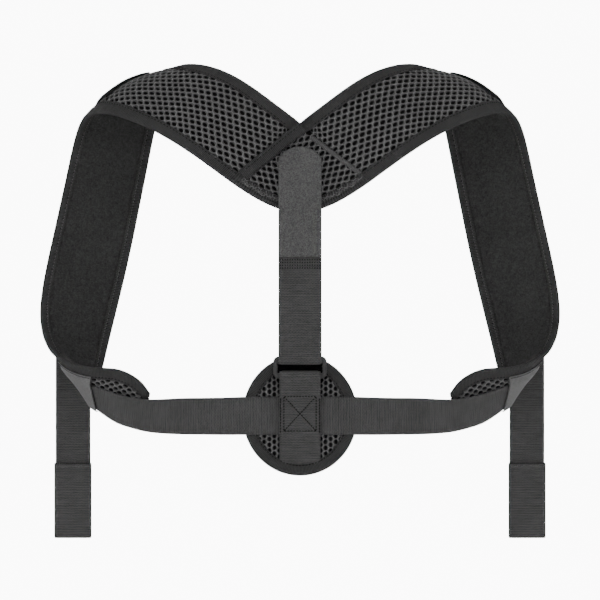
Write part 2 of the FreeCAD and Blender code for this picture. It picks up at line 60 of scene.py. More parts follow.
# Stations along one padded strap (mm): armhole edge, neck edge, outward bulge.
STATIONS = np.array([
    (0.0, -3.2, -36.4, 0.0, -3.2, 38.3, 0.0),
    (-15.0, -3.2, -32.7, -8.3, -3.2, 44.7, 0.0),
    (-32.3, -3.2, -25.4, -17.8, -3.2, 51.9, 0.0),
    (-51.7, -2.5, -13.5, -28.6, -0.6, 60.2, 0.0),
    (-71.6, -0.6, 0.9, -40.6, 3.5, 69.1, 0.0),
    (-91.2, 3.5, 15.0, -54.2, 10.8, 78.0, 0.0),
    (-110.6, 10.8, 27.6, -69.2, 21.3, 85.5, 0.4),
    (-129.7, 21.6, 38.1, -84.4, 34.3, 90.1, 2.2),
    (-147.9, 35.0, 46.0, -98.1, 48.8, 91.0, 5.6),
    (-164.0, 50.0, 51.0, -108.6, 63.8, 87.4, 8.8),
    (-177.1, 65.8, 52.2, -115.9, 78.3, 78.8, 9.6),
    (-186.7, 81.3, 47.9, -121.2, 91.0, 65.4, 7.6),
    (-193.5, 94.8, 37.5, -125.9, 101.3, 47.6, 4.6),
    (-198.9, 104.8, 21.2, -130.9, 109.0, 25.8, 2.2),
    (-204.2, 111.0, -0.4, -136.3, 114.3, 0.4, 0.8),
    (-210.0, 114.4, -25.3, -142.2, 117.4, -28.0, 0.0),
    (-215.9, 115.7, -51.3, -148.4, 118.9, -58.1, 0.0),
    (-221.5, 114.7, -77.1, -155.0, 118.9, -87.8, 0.0),
    (-225.4, 111.3, -100.3, -161.6, 117.5, -115.5, 0.0),
    (-226.5, 105.4, -120.5, -167.7, 115.0, -140.8, 0.0),
    (-223.5, 96.4, -137.5, -172.8, 111.5, -163.1, 0.0),
    (-216.4, 84.5, -150.2, -176.6, 106.9, -180.4, 0.0),
    (-206.2, 71.8, -158.4, -178.4, 100.7, -191.8, 0.0),
    (-194.5, 60.3, -163.4, -177.3, 92.4, -198.7, 0.0),
    (-181.8, 50.8, -166.4, -172.4, 82.5, -203.0, 0.0),
    (-168.6, 43.0, -168.4, -164.3, 71.9, -205.6, 0.0),
    (-155.9, 36.7, -170.9, -154.5, 61.5, -206.7, 0.0),
    (-145.0, 31.8, -175.0, -144.7, 51.9, -205.5, 0.0),
    (-136.4, 28.9, -180.6, -136.2, 43.2, -201.8, 0.0),
    (-129.8, 27.8, -187.1, -129.8, 35.3, -196.7, 0.0),
])
# Side webbing between the spine pad and the keeper (mm): top edge, bottom edge.
SIDE_WEB = np.array([
    (-0.8, -7.5, -188.8, -0.8, -7.5, -220.8),
    (-31.6, -7.5, -188.8, -31.6, -7.5, -220.8),
    (-46.6, -7.5, -189.0, -46.6, -7.5, -220.8),
    (-62.4, -7.0, -190.5, -62.4, -7.0, -220.9),
    (-80.8, -4.2, -192.2, -80.9, -3.2, -220.9),
    (-98.7, 2.8, -192.5, -98.8, 4.8, -221.1),
    (-113.3, 11.8, -192.8, -114.4, 16.8, -221.1),
    (-129.2, 24.3, -192.4, -131.5, 34.8, -220.3),
    (-146.8, 35.8, -190.3, -150.4, 51.8, -216.2),
    (-161.1, 45.3, -187.3, -164.1, 63.8, -212.0),
])
STATIONS[25:30, 2] += (1.2, 2.8, 3.2, 2.2, -0.6)
STATIONS[28:30, 0] += (1.2, 1.8)
SIDE_WEB[3:7, 2] += (0.9, 2.2, 2.1, 1.3)
NS = len(STATIONS)
KS, KE = 3.3, NS - 1.0


# ---------------------------------------------------------------- strap surface
def cr(A, s):
    s = np.atleast_1d(np.asarray(s, float))
    n = len(A)
    i = np.clip(np.floor(s).astype(int), 0, n - 2)
    u = (s - i)[:, None]
    p1, p2 = A[i], A[i + 1]
    p0 = np.where((i > 0)[:, None], A[np.maximum(i - 1, 0)], 2 * p1 - p2)
    p3 = np.where((i < n - 2)[:, None], A[np.minimum(i + 2, n - 1)], 2 * p2 - p1)
    return 0.5 * (2 * p1 + (p2 - p0) * u + (2 * p0 - 5 * p1 + 4 * p2 - p3) * u ** 2
                  + (3 * p1 - p0 - 3 * p2 + p3) * u ** 3)


def neck(k):
    k = np.asarray(k, float)
    return np.where(k <= 3.3, k * 0.9 / 3.3, np.where(k <= 7.0, 0.9 + (k - 3.3) * (6.1 / 3.7), k))


def mid(k, v):
    k, v = np.broadcast_arrays(np.asarray(k, float).ravel(), np.asarray(v, float).ravel())
    sg = np.where(k < 0, -1.0, 1.0)
    kk = np.minimum(np.abs(k), KE)
    a = cr(STATIONS[:, 0:3], kk)
    b = cr(STATIONS[:, 3:6], neck(kk))
    vv = v[:, None]
    p = a * (1 - vv) + b * vv
    bl = cr(STATIONS[:, 6:7], kk)[:, 0]
    k2 = np.minimum(kk + 0.02, KE)
    a2 = cr(STATIONS[:, 0:3], k2)
    b2 = cr(STATIONS[:, 3:6], neck(k2))
    n = np.cross((a2 + b2) * 0.5 - (a + b) * 0.5, b - a)
    ln = np.linalg.norm(n, axis=1)
    n = n / np.maximum(ln, 1e-12)[:, None]
    vc = np.clip(v, 0, 1)
    p = p - n * (np.where((bl > 1e-6) & (ln > 1e-9), bl, 0) * 4 * vc * (1 - vc))[:, None]
    p[:, 0] *= sg
    return p


def nrm(k, v):
    k, v = np.broadcast_arrays(np.asarray(k, float).ravel(), np.asarray(v, float).ravel())
    vv = np.clip(v, 0.01, 0.99)
    dk = mid(np.minimum(k + 0.03, KE), vv) - mid(k - 0.03, vv)
    dv = mid(k, np.minimum(vv + 0.01, 1)) - mid(k, np.maximum(vv - 0.01, 0))
    n = np.cross(dk, dv)
    return n / np.linalg.norm(n, axis=1)[:, None]


def surf(k, v, n):
    k, v, n = np.broadcast_arrays(np.asarray(k, float).ravel(), np.asarray(v, float).ravel(), np.asarray(n, float).ravel())
    return mid(k, v) + nrm(k, v) * n[:, None]


def wide(k):
    k = np.asarray(k, float).ravel()
    return np.linalg.norm(mid(k, np.ones_like(k)) - mid(k, np.zeros_like(k)), axis=1)


KT = np.linspace(0.0, KE, 1600)
CT = mid(KT, np.full_like(KT, 0.5))
AT = np.concatenate([[0], np.cumsum(np.linalg.norm(np.diff(CT, axis=0), axis=1))])
WT = wide(KT)


def k_of(a):
    return np.interp(a, AT, KT)


def a_of(k):
    return np.interp(k, KT, AT)


def w_of(k):
    return np.interp(np.abs(k), KT, WT)


def smooth(x, a, b):
    t = np.clip((np.asarray(x, float) - a) / (b - a), 0, 1)
    return t * t * (3 - 2 * t)


def h_out(d):
    return 1.75 + 1.35 * smooth(d, 1.0, 17.0)


def h_in(d):
    return 1.75 + 1.30 * smooth(d, 1.0, 15.0)


def wav(x, seed, scale):
    # smooth wandering value between -1 and 1
    g = np.random.default_rng(seed).uniform(-1, 1, 400)
    t = np.asarray(x, float) / scale + 50
    i = np.clip(np.floor(t).astype(int), 0, 397)
    f = t - i
    f = f * f * (3 - 2 * f)
    return g[i] * (1 - f) + g[i + 1] * f


# ---------------------------------------------------------------- mesh helpers
def make(name, V, F, mat, uv=None, smooth_it=True, mirror=False):
    V = np.asarray(V, float).reshape(-1, 3) * MM
    F = np.asarray(F, np.int64)
    if mirror:
        V = V * np.array([-1.0, 1.0, 1.0])
        F = F[:, ::-1]
    me = bpy.data.meshes.new(name)
    n, m = F.shape
    me.vertices.add(len(V))
    me.vertices.foreach_set("co", V.astype(np.float32).ravel())
    me.loops.add(n * m)
    me.loops.foreach_set("vertex_index", F.astype(np.int32).ravel())
    me.polygons.add(n)
    me.polygons.foreach_set("loop_start", np.arange(0, n * m, m, dtype=np.int32))
    me.update(calc_edges=True)
    if uv is not None:
        layer = me.uv_layers.new(name="UVMap")
        layer.data.foreach_set("uv", np.asarray(uv, np.float32)[F.ravel()].ravel())
    me.validate()
    if smooth_it:
        me.polygons.foreach_set("use_smooth", np.ones(len(me.polygons), bool))
    me.materials.append(mat)
    o = bpy.data.objects.new(name, me)
    bpy.context.collection.objects.link(o)
    return o


def quads(nu, nv, wrap_u=False, wrap_v=False, off=0):
    iu = np.arange(nu if wrap_u else nu - 1)
    iv = np.arange(nv if wrap_v else nv - 1)
    U, Vv = np.meshgrid(iu, iv, indexing="ij")
    a = U * nv + Vv
    b = ((U + 1) % nu) * nv + Vv
    c = ((U + 1) % nu) * nv + (Vv + 1) % nv
    d = U * nv + (Vv + 1) % nv
    return np.stack([a, d, c, b], -1).reshape(-1, 4) + off


def tube(secs, uv=None, caps=True):
    # secs (n, m, 3): closed sections joined along n, ends closed by strips
    secs = np.asarray(secs, float)
    n, m = secs.shape[:2]
    F = [quads(n, m, False, True)]
    if caps:
        for base, flip in ((0, False), ((n - 1) * m, True)):
            q = []
            for i in range(m // 2 - 1):
                j = m - 1 - i
                f = [base + i, base + i + 1, base + j - 1, base + j]
                q.append(f if not flip else f[::-1])
            F.append(np.array(q).reshape(-1, 4))
    return secs.reshape(-1, 3), np.concatenate(F)


def fix_normals(o):
    import bmesh
    bm = bmesh.new()
    bm.from_mesh(o.data)
    bmesh.ops.recalc_face_normals(bm, faces=bm.faces)
    bm.to_mesh(o.data)
    bm.free()
    return o


def crspath(P, per):
    # smooth path through points
    P = np.asarray(P, float)
    s = np.linspace(0, len(P) - 1, per)
    return cr(P, s)


def resample(P, step):
    d = np.concatenate([[0], np.cumsum(np.linalg.norm(np.diff(P, axis=0), axis=1))])
    n = max(int(round(d[-1] / step)), 2)
    t = np.linspace(0, d[-1], n + 1)
    return np.stack([np.interp(t, d, P[:, c]) for c in range(P.shape[1])], 1), t


def band(name, A, B, thick, mat, mirror=False, wob=0.0, seed=1, edge=0.45, mu=14, uvw=None):
    # woven band between two edge lines (mm), rounded selvedges, faint unevenness
    A, B = np.asarray(A, float), np.asarray(B, float)
    n = len(A)
    t = np.gradient((A + B) / 2, axis=0)
    w = B - A
    W = np.linalg.norm(w, axis=1)
    N = np.cross(t, w)
    N /= np.linalg.norm(N, axis=1)[:, None]
    wd = w / W[:, None]
    run = np.concatenate([[0], np.cumsum(np.linalg.norm(np.diff((A + B) / 2, axis=0), axis=1))])
    us = np.linspace(0, 1, mu)
    h = thick / 2
    prof = []
    for u in us:
        e = min(u, 1 - u) * W.mean()
        hh = h * math.sqrt(max(0.0, 1 - max(0.0, 1 - e / (edge * 1.6)) ** 2)) * (1 + 0.10 * math.exp(-((e - 1.1) / 0.7) ** 2))
        prof.append((u, max(hh, 0.06)))
    secs, uvs = [], []
    for sgn in (1, -1):
        for u, hh in (prof if sgn > 0 else prof[::-1]):
            off = wob * (wav(run + u * 9, seed, 17.0) + 0.4 * wav(run * 1.0 + 90 * u, seed + 3, 7.0))
            secs.append(A + wd * (u * W)[:, None] + N * (sgn * hh + off)[:, None])
            uvs.append(np.stack([np.full(n, (u - 0.5) * W.mean() + (200 if sgn < 0 else 0)), run], 1))
    V = np.stack(secs, 1)
    U = np.stack(uvs, 1).reshape(-1, 2)
    Vv, F = tube(V)
    o = make(name, Vv, F, mat, uv=U, mirror=mirror)
    return fix_normals(o)


def yz_band(name, path, width, thick, mat, step=1.5, **kw):
    P, _ = resample(crspath(path, 40 * len(path)), step)
    A = np.stack([np.full(len(P), -width / 2), P[:, 0], P[:, 1]], 1)
    B = A * np.array([-1, 1, 1])
    return band(name, A, B, thick, mat, **kw)


def stitch_mesh(name, P, T, N, mat, length=2.3, rad=0.42, mirror=False, flat=0.75, jitter=0.0):
    # short sewn threads: at points P, along T, standing on the face with normal N
    P, T, N = (np.asarray(x, float).reshape(-1, 3) for x in (P, T, N))
    T = T / np.linalg.norm(T, axis=1)[:, None]
    N = N - T * np.sum(N * T, 1)[:, None]
    N = N / np.linalg.norm(N, axis=1)[:, None]
    S = np.cross(T, N)
    if jitter:
        r = np.random.default_rng(len(P))
        ang = r.normal(0, jitter, len(P))[:, None]
        T, S = T * np.cos(ang) + S * np.sin(ang), S * np.cos(ang) - T * np.sin(ang)
    m, ns = 6, 6
    base = []
    for i in range(ns):
        x = -1 + 2 * i / (ns - 1)
        r = math.sqrt(max(0.0, 1 - abs(x) ** 2.6)) * 0.95 + 0.05
        z = -0.55 * abs(x) ** 2.2
        for j in range(m):
            a = 2 * math.pi * j / m
            base.append((x * length / 2, math.cos(a) * rad * r, math.sin(a) * rad * flat * r + z * rad))
    base = np.array(base)
    V = (P[:, None, :] + base[None, :, 0:1] * T[:, None, :] + base[None, :, 1:2] * S[:, None, :]
         + base[None, :, 2:3] * N[:, None, :])
    f0 = quads(ns, m, False, True)
    caps = np.array([[0, 1, 2, 3], [0, 3, 4, 5], [(ns - 1) * m + i for i in (3, 2, 1, 0)], [(ns - 1) * m + i for i in (5, 4, 3, 0)]])
    f0 = np.concatenate([f0, caps])
    F = (f0[None] + (np.arange(len(P)) * len(base))[:, None, None]).reshape(-1, 4)
    uv = np.tile(np.stack([base[:, 1], base[:, 0]], 1), (len(P), 1))
    return fix_normals(make(name, V.reshape(-1, 3), F, mat, uv=uv, mirror=mirror))


# ---------------------------------------------------------------- materials
def nodes_of(name):
    m = bpy.data.materials.new(name)
    m.use_nodes = True
    nt = m.node_tree
    bs = nt.nodes["Principled BSDF"]
    return m, nt, bs


class NT:
    def __init__(self, nt):
        self.nt = nt

    def n(self, kind, **kw):
        x = self.nt.nodes.new(kind)
        for k, v in kw.items():
            setattr(x, k, v)
        return x

    def link(self, a, b):
        self.nt.links.new(a, b)

    def math(self, op, a, b=None, c=None):
        x = self.n("ShaderNodeMath", operation=op)
        for i, s in enumerate((a, b, c)):
            if s is None:
                continue
            if isinstance(s, (int, float)):
                x.inputs[i].default_value = s
            else:
                self.link(s, x.inputs[i])
        return x.outputs[0]

    def noise(self, vec, scale, detail=3.0, rough=0.55):
        x = self.n("ShaderNodeTexNoise")
        x.inputs["Scale"].default_value = scale
        x.inputs["Detail"].default_value = detail
        x.inputs["Roughness"].default_value = rough
        self.link(vec, x.inputs["Vector"])
        return x.outputs["Fac"]

    def ramp(self, fac, stops):
        x = self.n("ShaderNodeValToRGB")
        e = x.color_ramp.elements
        while len(e) < len(stops):
            e.new(0.5)
        for el, (p, c) in zip(e, stops):
            el.position = p
            el.color = (c[0], c[1], c[2], 1)
        self.link(fac, x.inputs[0])
        return x.outputs[0]


def grey(v, t=0.0):
    return (v * (1 - t), v, v * (1.0 + t))


def fabric(name, lo, hi, weave, rough=0.85, sheen=0.0, bump=0.5, dist=0.0003, blotch=0.12, sheen_rough=0.4, spec=0.20):
    m, nt, bs = nodes_of(name)
    g = NT(nt)
    tc = g.n("ShaderNodeTexCoord")
    sep = g.n("ShaderNodeSeparateXYZ")
    g.link(tc.outputs["UV"], sep.inputs[0])
    u, v = sep.outputs[0], sep.outputs[1]
    obj = tc.outputs["Object"]
    big = g.noise(obj, 26.0, 3.0, 0.6)
    fine = g.noise(obj, 900.0, 2.0, 0.6)
    grain = g.noise(obj, 2600.0, 2.0, 0.7)
    if weave in ("web", "ribs"):
        # weft ribs across the strap, each of uneven strength, and faint warp lines
        cmb = g.n("ShaderNodeCombineXYZ")
        g.link(g.math("MULTIPLY", u, 0.10), cmb.inputs[0])
        g.link(g.math("MULTIPLY", v, 1.0), cmb.inputs[1])
        streak = g.noise(cmb.outputs[0], 0.62, 4.0, 0.7)
        wob = g.noise(tc.outputs["UV"], 0.22, 2.0, 0.5)
        ph = g.math("ADD", g.math("MULTIPLY", v, 1 / 1.55), g.math("MULTIPLY", wob, 1.4))
        wv = g.math("MULTIPLY_ADD", g.math("SINE", g.math("MULTIPLY", ph, 2 * math.pi)), 0.5, 0.5)
        zig = g.math("ABSOLUTE", g.math("SUBTRACT", g.math("FRACT", g.math("MULTIPLY", u, 1 / 2.6)), 0.5))
        tw = g.math("MULTIPLY_ADD", g.math("SINE", g.math("MULTIPLY", g.math("ADD", g.math("MULTIPLY", v, 1 / 2.3), zig), 2 * math.pi)), 0.5, 0.5)
        k1, k2, k3 = (0.24, 0.22, 0.70) if weave == "web" else (0.36, 0.06, 0.66)
        pat = g.math("ADD", g.math("ADD", g.math("MULTIPLY", wv, k1), g.math("MULTIPLY", tw, k2)), g.math("MULTIPLY_ADD", streak, k3, -0.08))
    elif weave == "tape":
        wv = g.math("MULTIPLY_ADD", g.math("SINE", g.math("MULTIPLY", v, 2 * math.pi / 1.35)), 0.5, 0.5)
        col = g.math("MULTIPLY_ADD", g.math("SINE", g.math("MULTIPLY", u, 2 * math.pi / 1.1)), 0.5, 0.5)
        pat = g.math("ADD", g.math("MULTIPLY", wv, 0.7), g.math("MULTIPLY", col, 0.3))
    elif weave == "knit":
        wv = g.math("MULTIPLY_ADD", g.math("SINE", g.math("MULTIPLY", g.math("ADD", v, g.math("MULTIPLY", u, 0.6)), 2 * math.pi / 0.75)), 0.5, 0.5)
        pat = g.math("ADD", g.math("MULTIPLY", wv, 0.5), g.math("MULTIPLY", fine, 0.5))
    elif weave == "loop":
        vor = g.n("ShaderNodeTexVoronoi")
        vor.inputs["Scale"].default_value = 1.25
        vor.inputs["Randomness"].default_value = 0.95
        g.link(tc.outputs["UV"], vor.inputs["Vector"])
        pat = g.math("ADD", g.math("MULTIPLY", vor.outputs["Distance"], 0.55), g.math("MULTIPLY", fine, 0.6))
    elif weave == "hook":
        a = g.math("SINE", g.math("MULTIPLY", u, 2 * math.pi / 1.5))
        b = g.math("SINE", g.math("MULTIPLY", v, 2 * math.pi / 1.7))
        pat = g.math("MULTIPLY_ADD", g.math("MULTIPLY", a, b), 0.5, 0.5)
    elif weave == "plush":
        mid_n = g.noise(obj, 320.0, 3.0, 0.65)
        pat = g.math("ADD", g.math("MULTIPLY", mid_n, 0.5), g.math("MULTIPLY", fine, 0.5))
    else:
        pat = fine
    speck = g.math("MULTIPLY_ADD", g.noise(obj, 620.0, 3.0, 0.75), 0.44, -0.09)
    mixed = g.math("ADD", g.math("ADD", g.math("MULTIPLY", pat, 0.62), speck), g.math("ADD", g.math("MULTIPLY", grain, 0.13), g.math("MULTIPLY", big, blotch)))
    col = g.ramp(mixed, [(0.29, grey(lo)), (0.73, grey(hi))])
    # knit: base colour scaled by the per-layer map from net_cells, which keeps the strands at full tone and darkens
    # the basins and hole walls as painted shade
    if weave == "knit":
        um = g.n("ShaderNodeUVMap", uv_map="Relief")
        sr = g.n("ShaderNodeSeparateXYZ")
        g.link(um.outputs[0], sr.inputs[0])
        sc = g.n("ShaderNodeVectorMath", operation="SCALE")
        g.link(col, sc.inputs[0])
        g.link(g.math("MULTIPLY_ADD", sr.outputs[0], 0.98, 0.31), sc.inputs["Scale"])
        col = sc.outputs[0]
    g.link(col, bs.inputs["Base Color"])
    ro = g.math("MULTIPLY_ADD", grain, 0.16, rough - 0.08)
    g.link(ro, bs.inputs["Roughness"])
    bs.inputs["Specular IOR Level"].default_value = spec
    if sheen:
        bs.inputs["Sheen Weight"].default_value = sheen
        bs.inputs["Sheen Roughness"].default_value = sheen_rough
    b = g.n("ShaderNodeBump")
    b.inputs["Strength"].default_value = bump
    b.inputs["Distance"].default_value = dist
    g.link(g.math("ADD", pat, g.math("MULTIPLY", grain, 0.35)), b.inputs["Height"])
    g.link(b.outputs[0], bs.inputs["Normal"])
    return m


def plastic(name):
    m, nt, bs = nodes_of(name)
    g = NT(nt)
    tc = g.n("ShaderNodeTexCoord")
    obj = tc.outputs["Object"]
    fine = g.noise(obj, 1500.0, 2.0, 0.5)
    big = g.noise(obj, 90.0, 4.0, 0.6)
    scuff = g.noise(obj, 420.0, 5.0, 0.75)
    mix = g.math("ADD", g.math("MULTIPLY", big, 0.6), g.math("MULTIPLY", scuff, 0.4))
    g.link(g.ramp(mix, [(0.30, grey(0.026)), (0.75, grey(0.048))]), bs.inputs["Base Color"])
    g.link(g.math("MULTIPLY_ADD", scuff, 0.30, 0.28), bs.inputs["Roughness"])
    b = g.n("ShaderNodeBump")
    b.inputs["Strength"].default_value = 0.35
    b.inputs["Distance"].default_value = 0.00008
    g.link(fine, b.inputs["Height"])
    g.link(b.outputs[0], bs.inputs["Normal"])
    return m


M_WEB = fabric("m_webbing", 0.017, 0.088, "web", rough=0.80, bump=0.8, dist=0.00035, blotch=0.20, spec=0.3)
M_WEB2 = fabric("m_webbing_ribbed", 0.042, 0.088, "ribs", rough=0.74, bump=0.7, dist=0.0003, blotch=0.16, spec=0.35)
M_TAPE = fabric("m_webbing_smooth", 0.092, 0.190, "tape", rough=0.74, bump=0.4, dist=0.00015, spec=0.3)
M_NET = fabric("m_air_mesh", 0.084, 0.200, "knit", rough=0.82, bump=0.8, dist=0.0003)
M_RIDGE = fabric("m_seam_ridge", 0.045, 0.115, "tape", rough=0.82, bump=0.8, dist=0.0003, blotch=0.3)
# near-black foam backing; also put on the disc binding behind the buckle slot as painted shade
M_BACKING_AND_SLOT_SHADE = fabric("m_backing_and_slot_shade", 0.003, 0.007, "plush", rough=0.95, bump=0.6, spec=0.05)
M_BIND = fabric("m_binding", 0.009, 0.058, "tape", rough=0.85, bump=0.8, dist=0.00030, blotch=0.34)
M_BIND_IN = fabric("m_binding_inner", 0.022, 0.052, "tape", rough=0.85, bump=0.8, dist=0.00030, blotch=0.30)
M_PLUSH = fabric("m_plush", 0.010, 0.062, "plush", rough=0.95, sheen=0.18, bump=0.9, dist=0.0004, spec=0.1)
M_LOOP = fabric("m_loop_tape", 0.018, 0.140, "loop", rough=0.92, sheen=0.15, bump=1.0, dist=0.0005, spec=0.1)
M_LOOPD = fabric("m_loop_tape_dark", 0.010, 0.032, "loop", rough=0.92, sheen=0.1, bump=1.0, dist=0.0005, spec=0.1)
M_HOOK = fabric("m_hook_tape", 0.025, 0.060, "hook", rough=0.7, bump=1.0, dist=0.0005)
M_THREAD = fabric("m_thread", 0.085, 0.150, "tape", rough=0.7, bump=0.4, dist=0.0001)
M_THREAD_M = fabric("m_thread_mid", 0.070, 0.125, "tape", rough=0.75, bump=0.4, dist=0.0001)
M_THREAD_D = fabric("m_thread_dark", 0.005, 0.012, "tape", rough=0.85, bump=0.4, dist=0.0001, spec=0.1)
M_PLASTIC = plastic("m_buckle_plastic")

# ---------------------------------------------------------------- nets
def net_cells(centres, mapper, name, mat, rp=2.70, rq=1.22, mirror=False, deep=1.75, pitch=(4.75, 5.8), seed=11):
    # hexagonal cells round each long hole: p along the hole, q across it, in
    # columns of pitch pq set pp apart; mapper turns (p, q, depth) into space
    pp, pq = pitch
    y2 = ((pq / 2) ** 2 + pp ** 2) / 2 / pp
    yb = pp - y2
    hexv = np.array([(y2, 0), (yb, pq / 2), (-yb, pq / 2), (-y2, 0), (-yb, -pq / 2), (yb, -pq / 2)])
    ring = []
    for i in range(6):
        p, q = hexv[i], hexv[(i + 1) % 6]
        ring += [p, (p + q) / 2]
    ring = np.array(ring)
    ang = np.arctan2(ring[:, 1] / rq, ring[:, 0] / rp)
    hole = np.stack([np.sign(np.cos(ang)) * np.abs(np.cos(ang)) ** 1.12 * rp, np.sign(np.sin(ang)) * np.abs(np.sin(ang)) ** 1.0 * rq], 1)
    # a raised strand round the cell, a shallow basin inside it, then the hole; the third value of each layer is a
    # colour factor: full on the strand for its own lighter tone, lower in the basin and near zero down the hole wall
    # as painted shade
    layers = [(ring, 0.0, 1.0), (ring * 0.86 + hole * 0.14, 0.05, 0.95), (ring * 0.64 + hole * 0.36, 0.36, 0.45),
              (ring * 0.24 + hole * 0.76, 0.62, 0.26), (hole, 0.88, 0.10), (hole * 1.02, 1.3, 0.02), (hole * 1.06, deep, 0.0)]
    nl = len(layers)
    pts = np.concatenate([np.concatenate([l, np.full((12, 1), d)], 1) for l, d, _ in layers])
    strand_tone_and_shade = np.repeat([x[2] for x in layers], 12)
    C = np.asarray(centres, float)
    m = 12 * nl
    full = np.concatenate([C[:, None, :] + pts[None, :, :2], np.broadcast_to(pts[None, :, 2:3], (len(C), m, 1))], 2)
    r = np.random.default_rng(seed)
    full[:, 36:, :2] += r.normal(0, 0.10, (len(C), 1, 2))
    full[:, 48:, 1] = C[:, None, 1] + (full[:, 48:, 1] - C[:, None, 1]) * r.uniform(0.82, 1.14, (len(C), 1))
    f = quads(nl, 12, False, True)
    F = (f[None] + (np.arange(len(C)) * m)[:, None, None]).reshape(-1, 4)
    flat = full.reshape(-1, 3)
    V = mapper(flat[:, 0], flat[:, 1], flat[:, 2])
    o = make(name, V, F, mat, uv=flat[:, :2], mirror=mirror)
    # per-loop copy of the layer factor for the knit material: the strands' own lighter tone and painted shade in the
    # basins and holes
    lay = o.data.uv_layers.new(name="Relief")
    rl = np.tile(strand_tone_and_shade, len(C))[(F[:, ::-1] if mirror else F).ravel()]
    lay.data.foreach_set("uv", np.stack([rl, np.full(len(rl), 0.5)], 1).astype(np.float32).ravel())
    o.data.uv_layers.active = o.data.uv_layers["UVMap"]
    import bmesh
    bm = bmesh.new()
    bm.from_mesh(o.data)
    bmesh.ops.remove_doubles(bm, verts=bm.verts, dist=0.00004)
    bmesh.ops.recalc_face_normals(bm, faces=bm.faces)
    bm.to_mesh(o.data)
    bm.free()
    return o


def lattice(pp, pq, p0, p1, q0, q1):
    out = []
    for i in range(int(p0 // pp) - 1, int(p1 // pp) + 2):
        for j in range(int(q0 // pq) - 1, int(q1 // pq) + 2):
            out.append((i * pp, j * pq + (pq / 2 if i % 2 else 0)))
    return np.array(out)


SKEW = math.radians(12.0)
CSK, SSK = math.cos(SKEW), math.sin(SKEW)


_gk, _gv = np.meshgrid(np.linspace(-5.2, 5.2, 521), np.linspace(0, 1, 121), indexing="ij")
_grid = mid(_gk.ravel(), _gv.ravel())


def depth_at(x, z):
    x, z = np.asarray(x, float).ravel(), np.asarray(z, float).ravel()
    out = np.zeros(len(x))
    for i0 in range(0, len(x), 400):
        d2 = (_grid[None, :, 0] - x[i0:i0 + 400, None]) ** 2 + (_grid[None, :, 2] - z[i0:i0 + 400, None]) ** 2
        j = np.argpartition(d2, 5, axis=1)[:, :5]
        dd = np.take_along_axis(d2, j, 1)
        wgt = 1 / (dd + 0.02)
        out[i0:i0 + 400] = (_grid[j, 1] * wgt).sum(1) / wgt.sum(1)
    return out


# line where the upper strap's edge crosses the lower strap, from the notch down
S_TOP, S_LOW = np.array([-0.6, 39.4]), np.array([-53.6, -3.6])
S_DIR = (S_LOW - S_TOP) / np.linalg.norm(S_LOW - S_TOP)
S_OUT = np.array([S_DIR[1], -S_DIR[0]])
if S_OUT[0] > 0:
    S_OUT = -S_OUT


def seam_dist(x, z):
    # above zero on the strap's side, below zero on the yoke's side
    return (np.asarray(x) - S_TOP[0]) * S_OUT[0] + (np.asarray(z) - S_TOP[1]) * S_OUT[1]


def pad_net(side):
    mirror = side == "right"
    a0, a1 = a_of(2.1), a_of(KE) - 1.0
    am = (a0 + a1) / 2
    L = lattice(4.75, 5.8, -310, 310, -120, 120)
    a = am + L[:, 0] * CSK - L[:, 1] * SSK
    b = L[:, 0] * SSK + L[:, 1] * CSK
    w = w_of(k_of(np.clip(a, a0, a1)))
    keep = (a > a0 + 1.0) & (a < a1 + 1.0) & (np.abs(b) < w / 2 - 5.5)
    cp = mid(k_of(np.clip(a, a0, a1)), np.clip(0.5 + b / w, 0, 1))
    keep &= (a > a_of(5.5)) | (seam_dist(cp[:, 0], cp[:, 2]) > (-0.5 if side == "left" else -2.2))
    L = L[keep]

    def mapper(p, q, d):
        a = am + p * CSK - q * SSK
        b = p * SSK + q * CSK
        k = k_of(np.clip(a, a0 - 0.5, a1))
        w = w_of(k)
        bb = np.clip(b, -(w / 2 - 2.5), w / 2 - 2.5)
        v = 0.5 + bb / w
        e = w / 2 - np.abs(bb)
        c = mid(k, v)
        sd = np.where(a > a_of(5.5), 99.0, seam_dist(c[:, 0], c[:, 2]))
        sink = 0.55 * np.exp(-((e - 9.9) / 1.1) ** 2) + 0.7 * (1 - smooth(sd, 0.0, 3.5))
        return surf(k, v, -(h_out(e) - d - sink))

    return net_cells(L, mapper, side + "_pad_net", M_NET, mirror=mirror)


# ---------------------------------------------------------------- padded strap parts
def shell_strip(name, ks, side_fn, nv, mat, mirror):
    secs = np.stack([side_fn(k) for k in ks])
    V, F = tube(secs)
    return V, F


def pad_body(side):
    mirror = side == "right"
    ks = k_of(np.linspace(a_of(KS) - 3, a_of(KE) - 1.2, 190))
    secs, uv = [], []
    vs = np.linspace(0, 1, 15)
    for k in ks:
        w = w_of(k)
        d = np.minimum(vs, 1 - vs) * w
        top = surf(np.full(15, k), 0.02 + vs * 0.96, -(h_out(d) - 1.55))
        bot = surf(np.full(15, k), 0.02 + vs[::-1] * 0.96, (h_in(d) - 0.8))
        secs.append(np.concatenate([top, bot]))
        uv.append(np.stack([np.concatenate([vs * w, vs[::-1] * w]), np.full(30, a_of(k))], 1))
    V, F = tube(np.stack(secs))
    return fix_normals(make(side + "_pad_foam", V, F, M_BACKING_AND_SLOT_SHADE, uv=np.concatenate(uv), mirror=mirror))


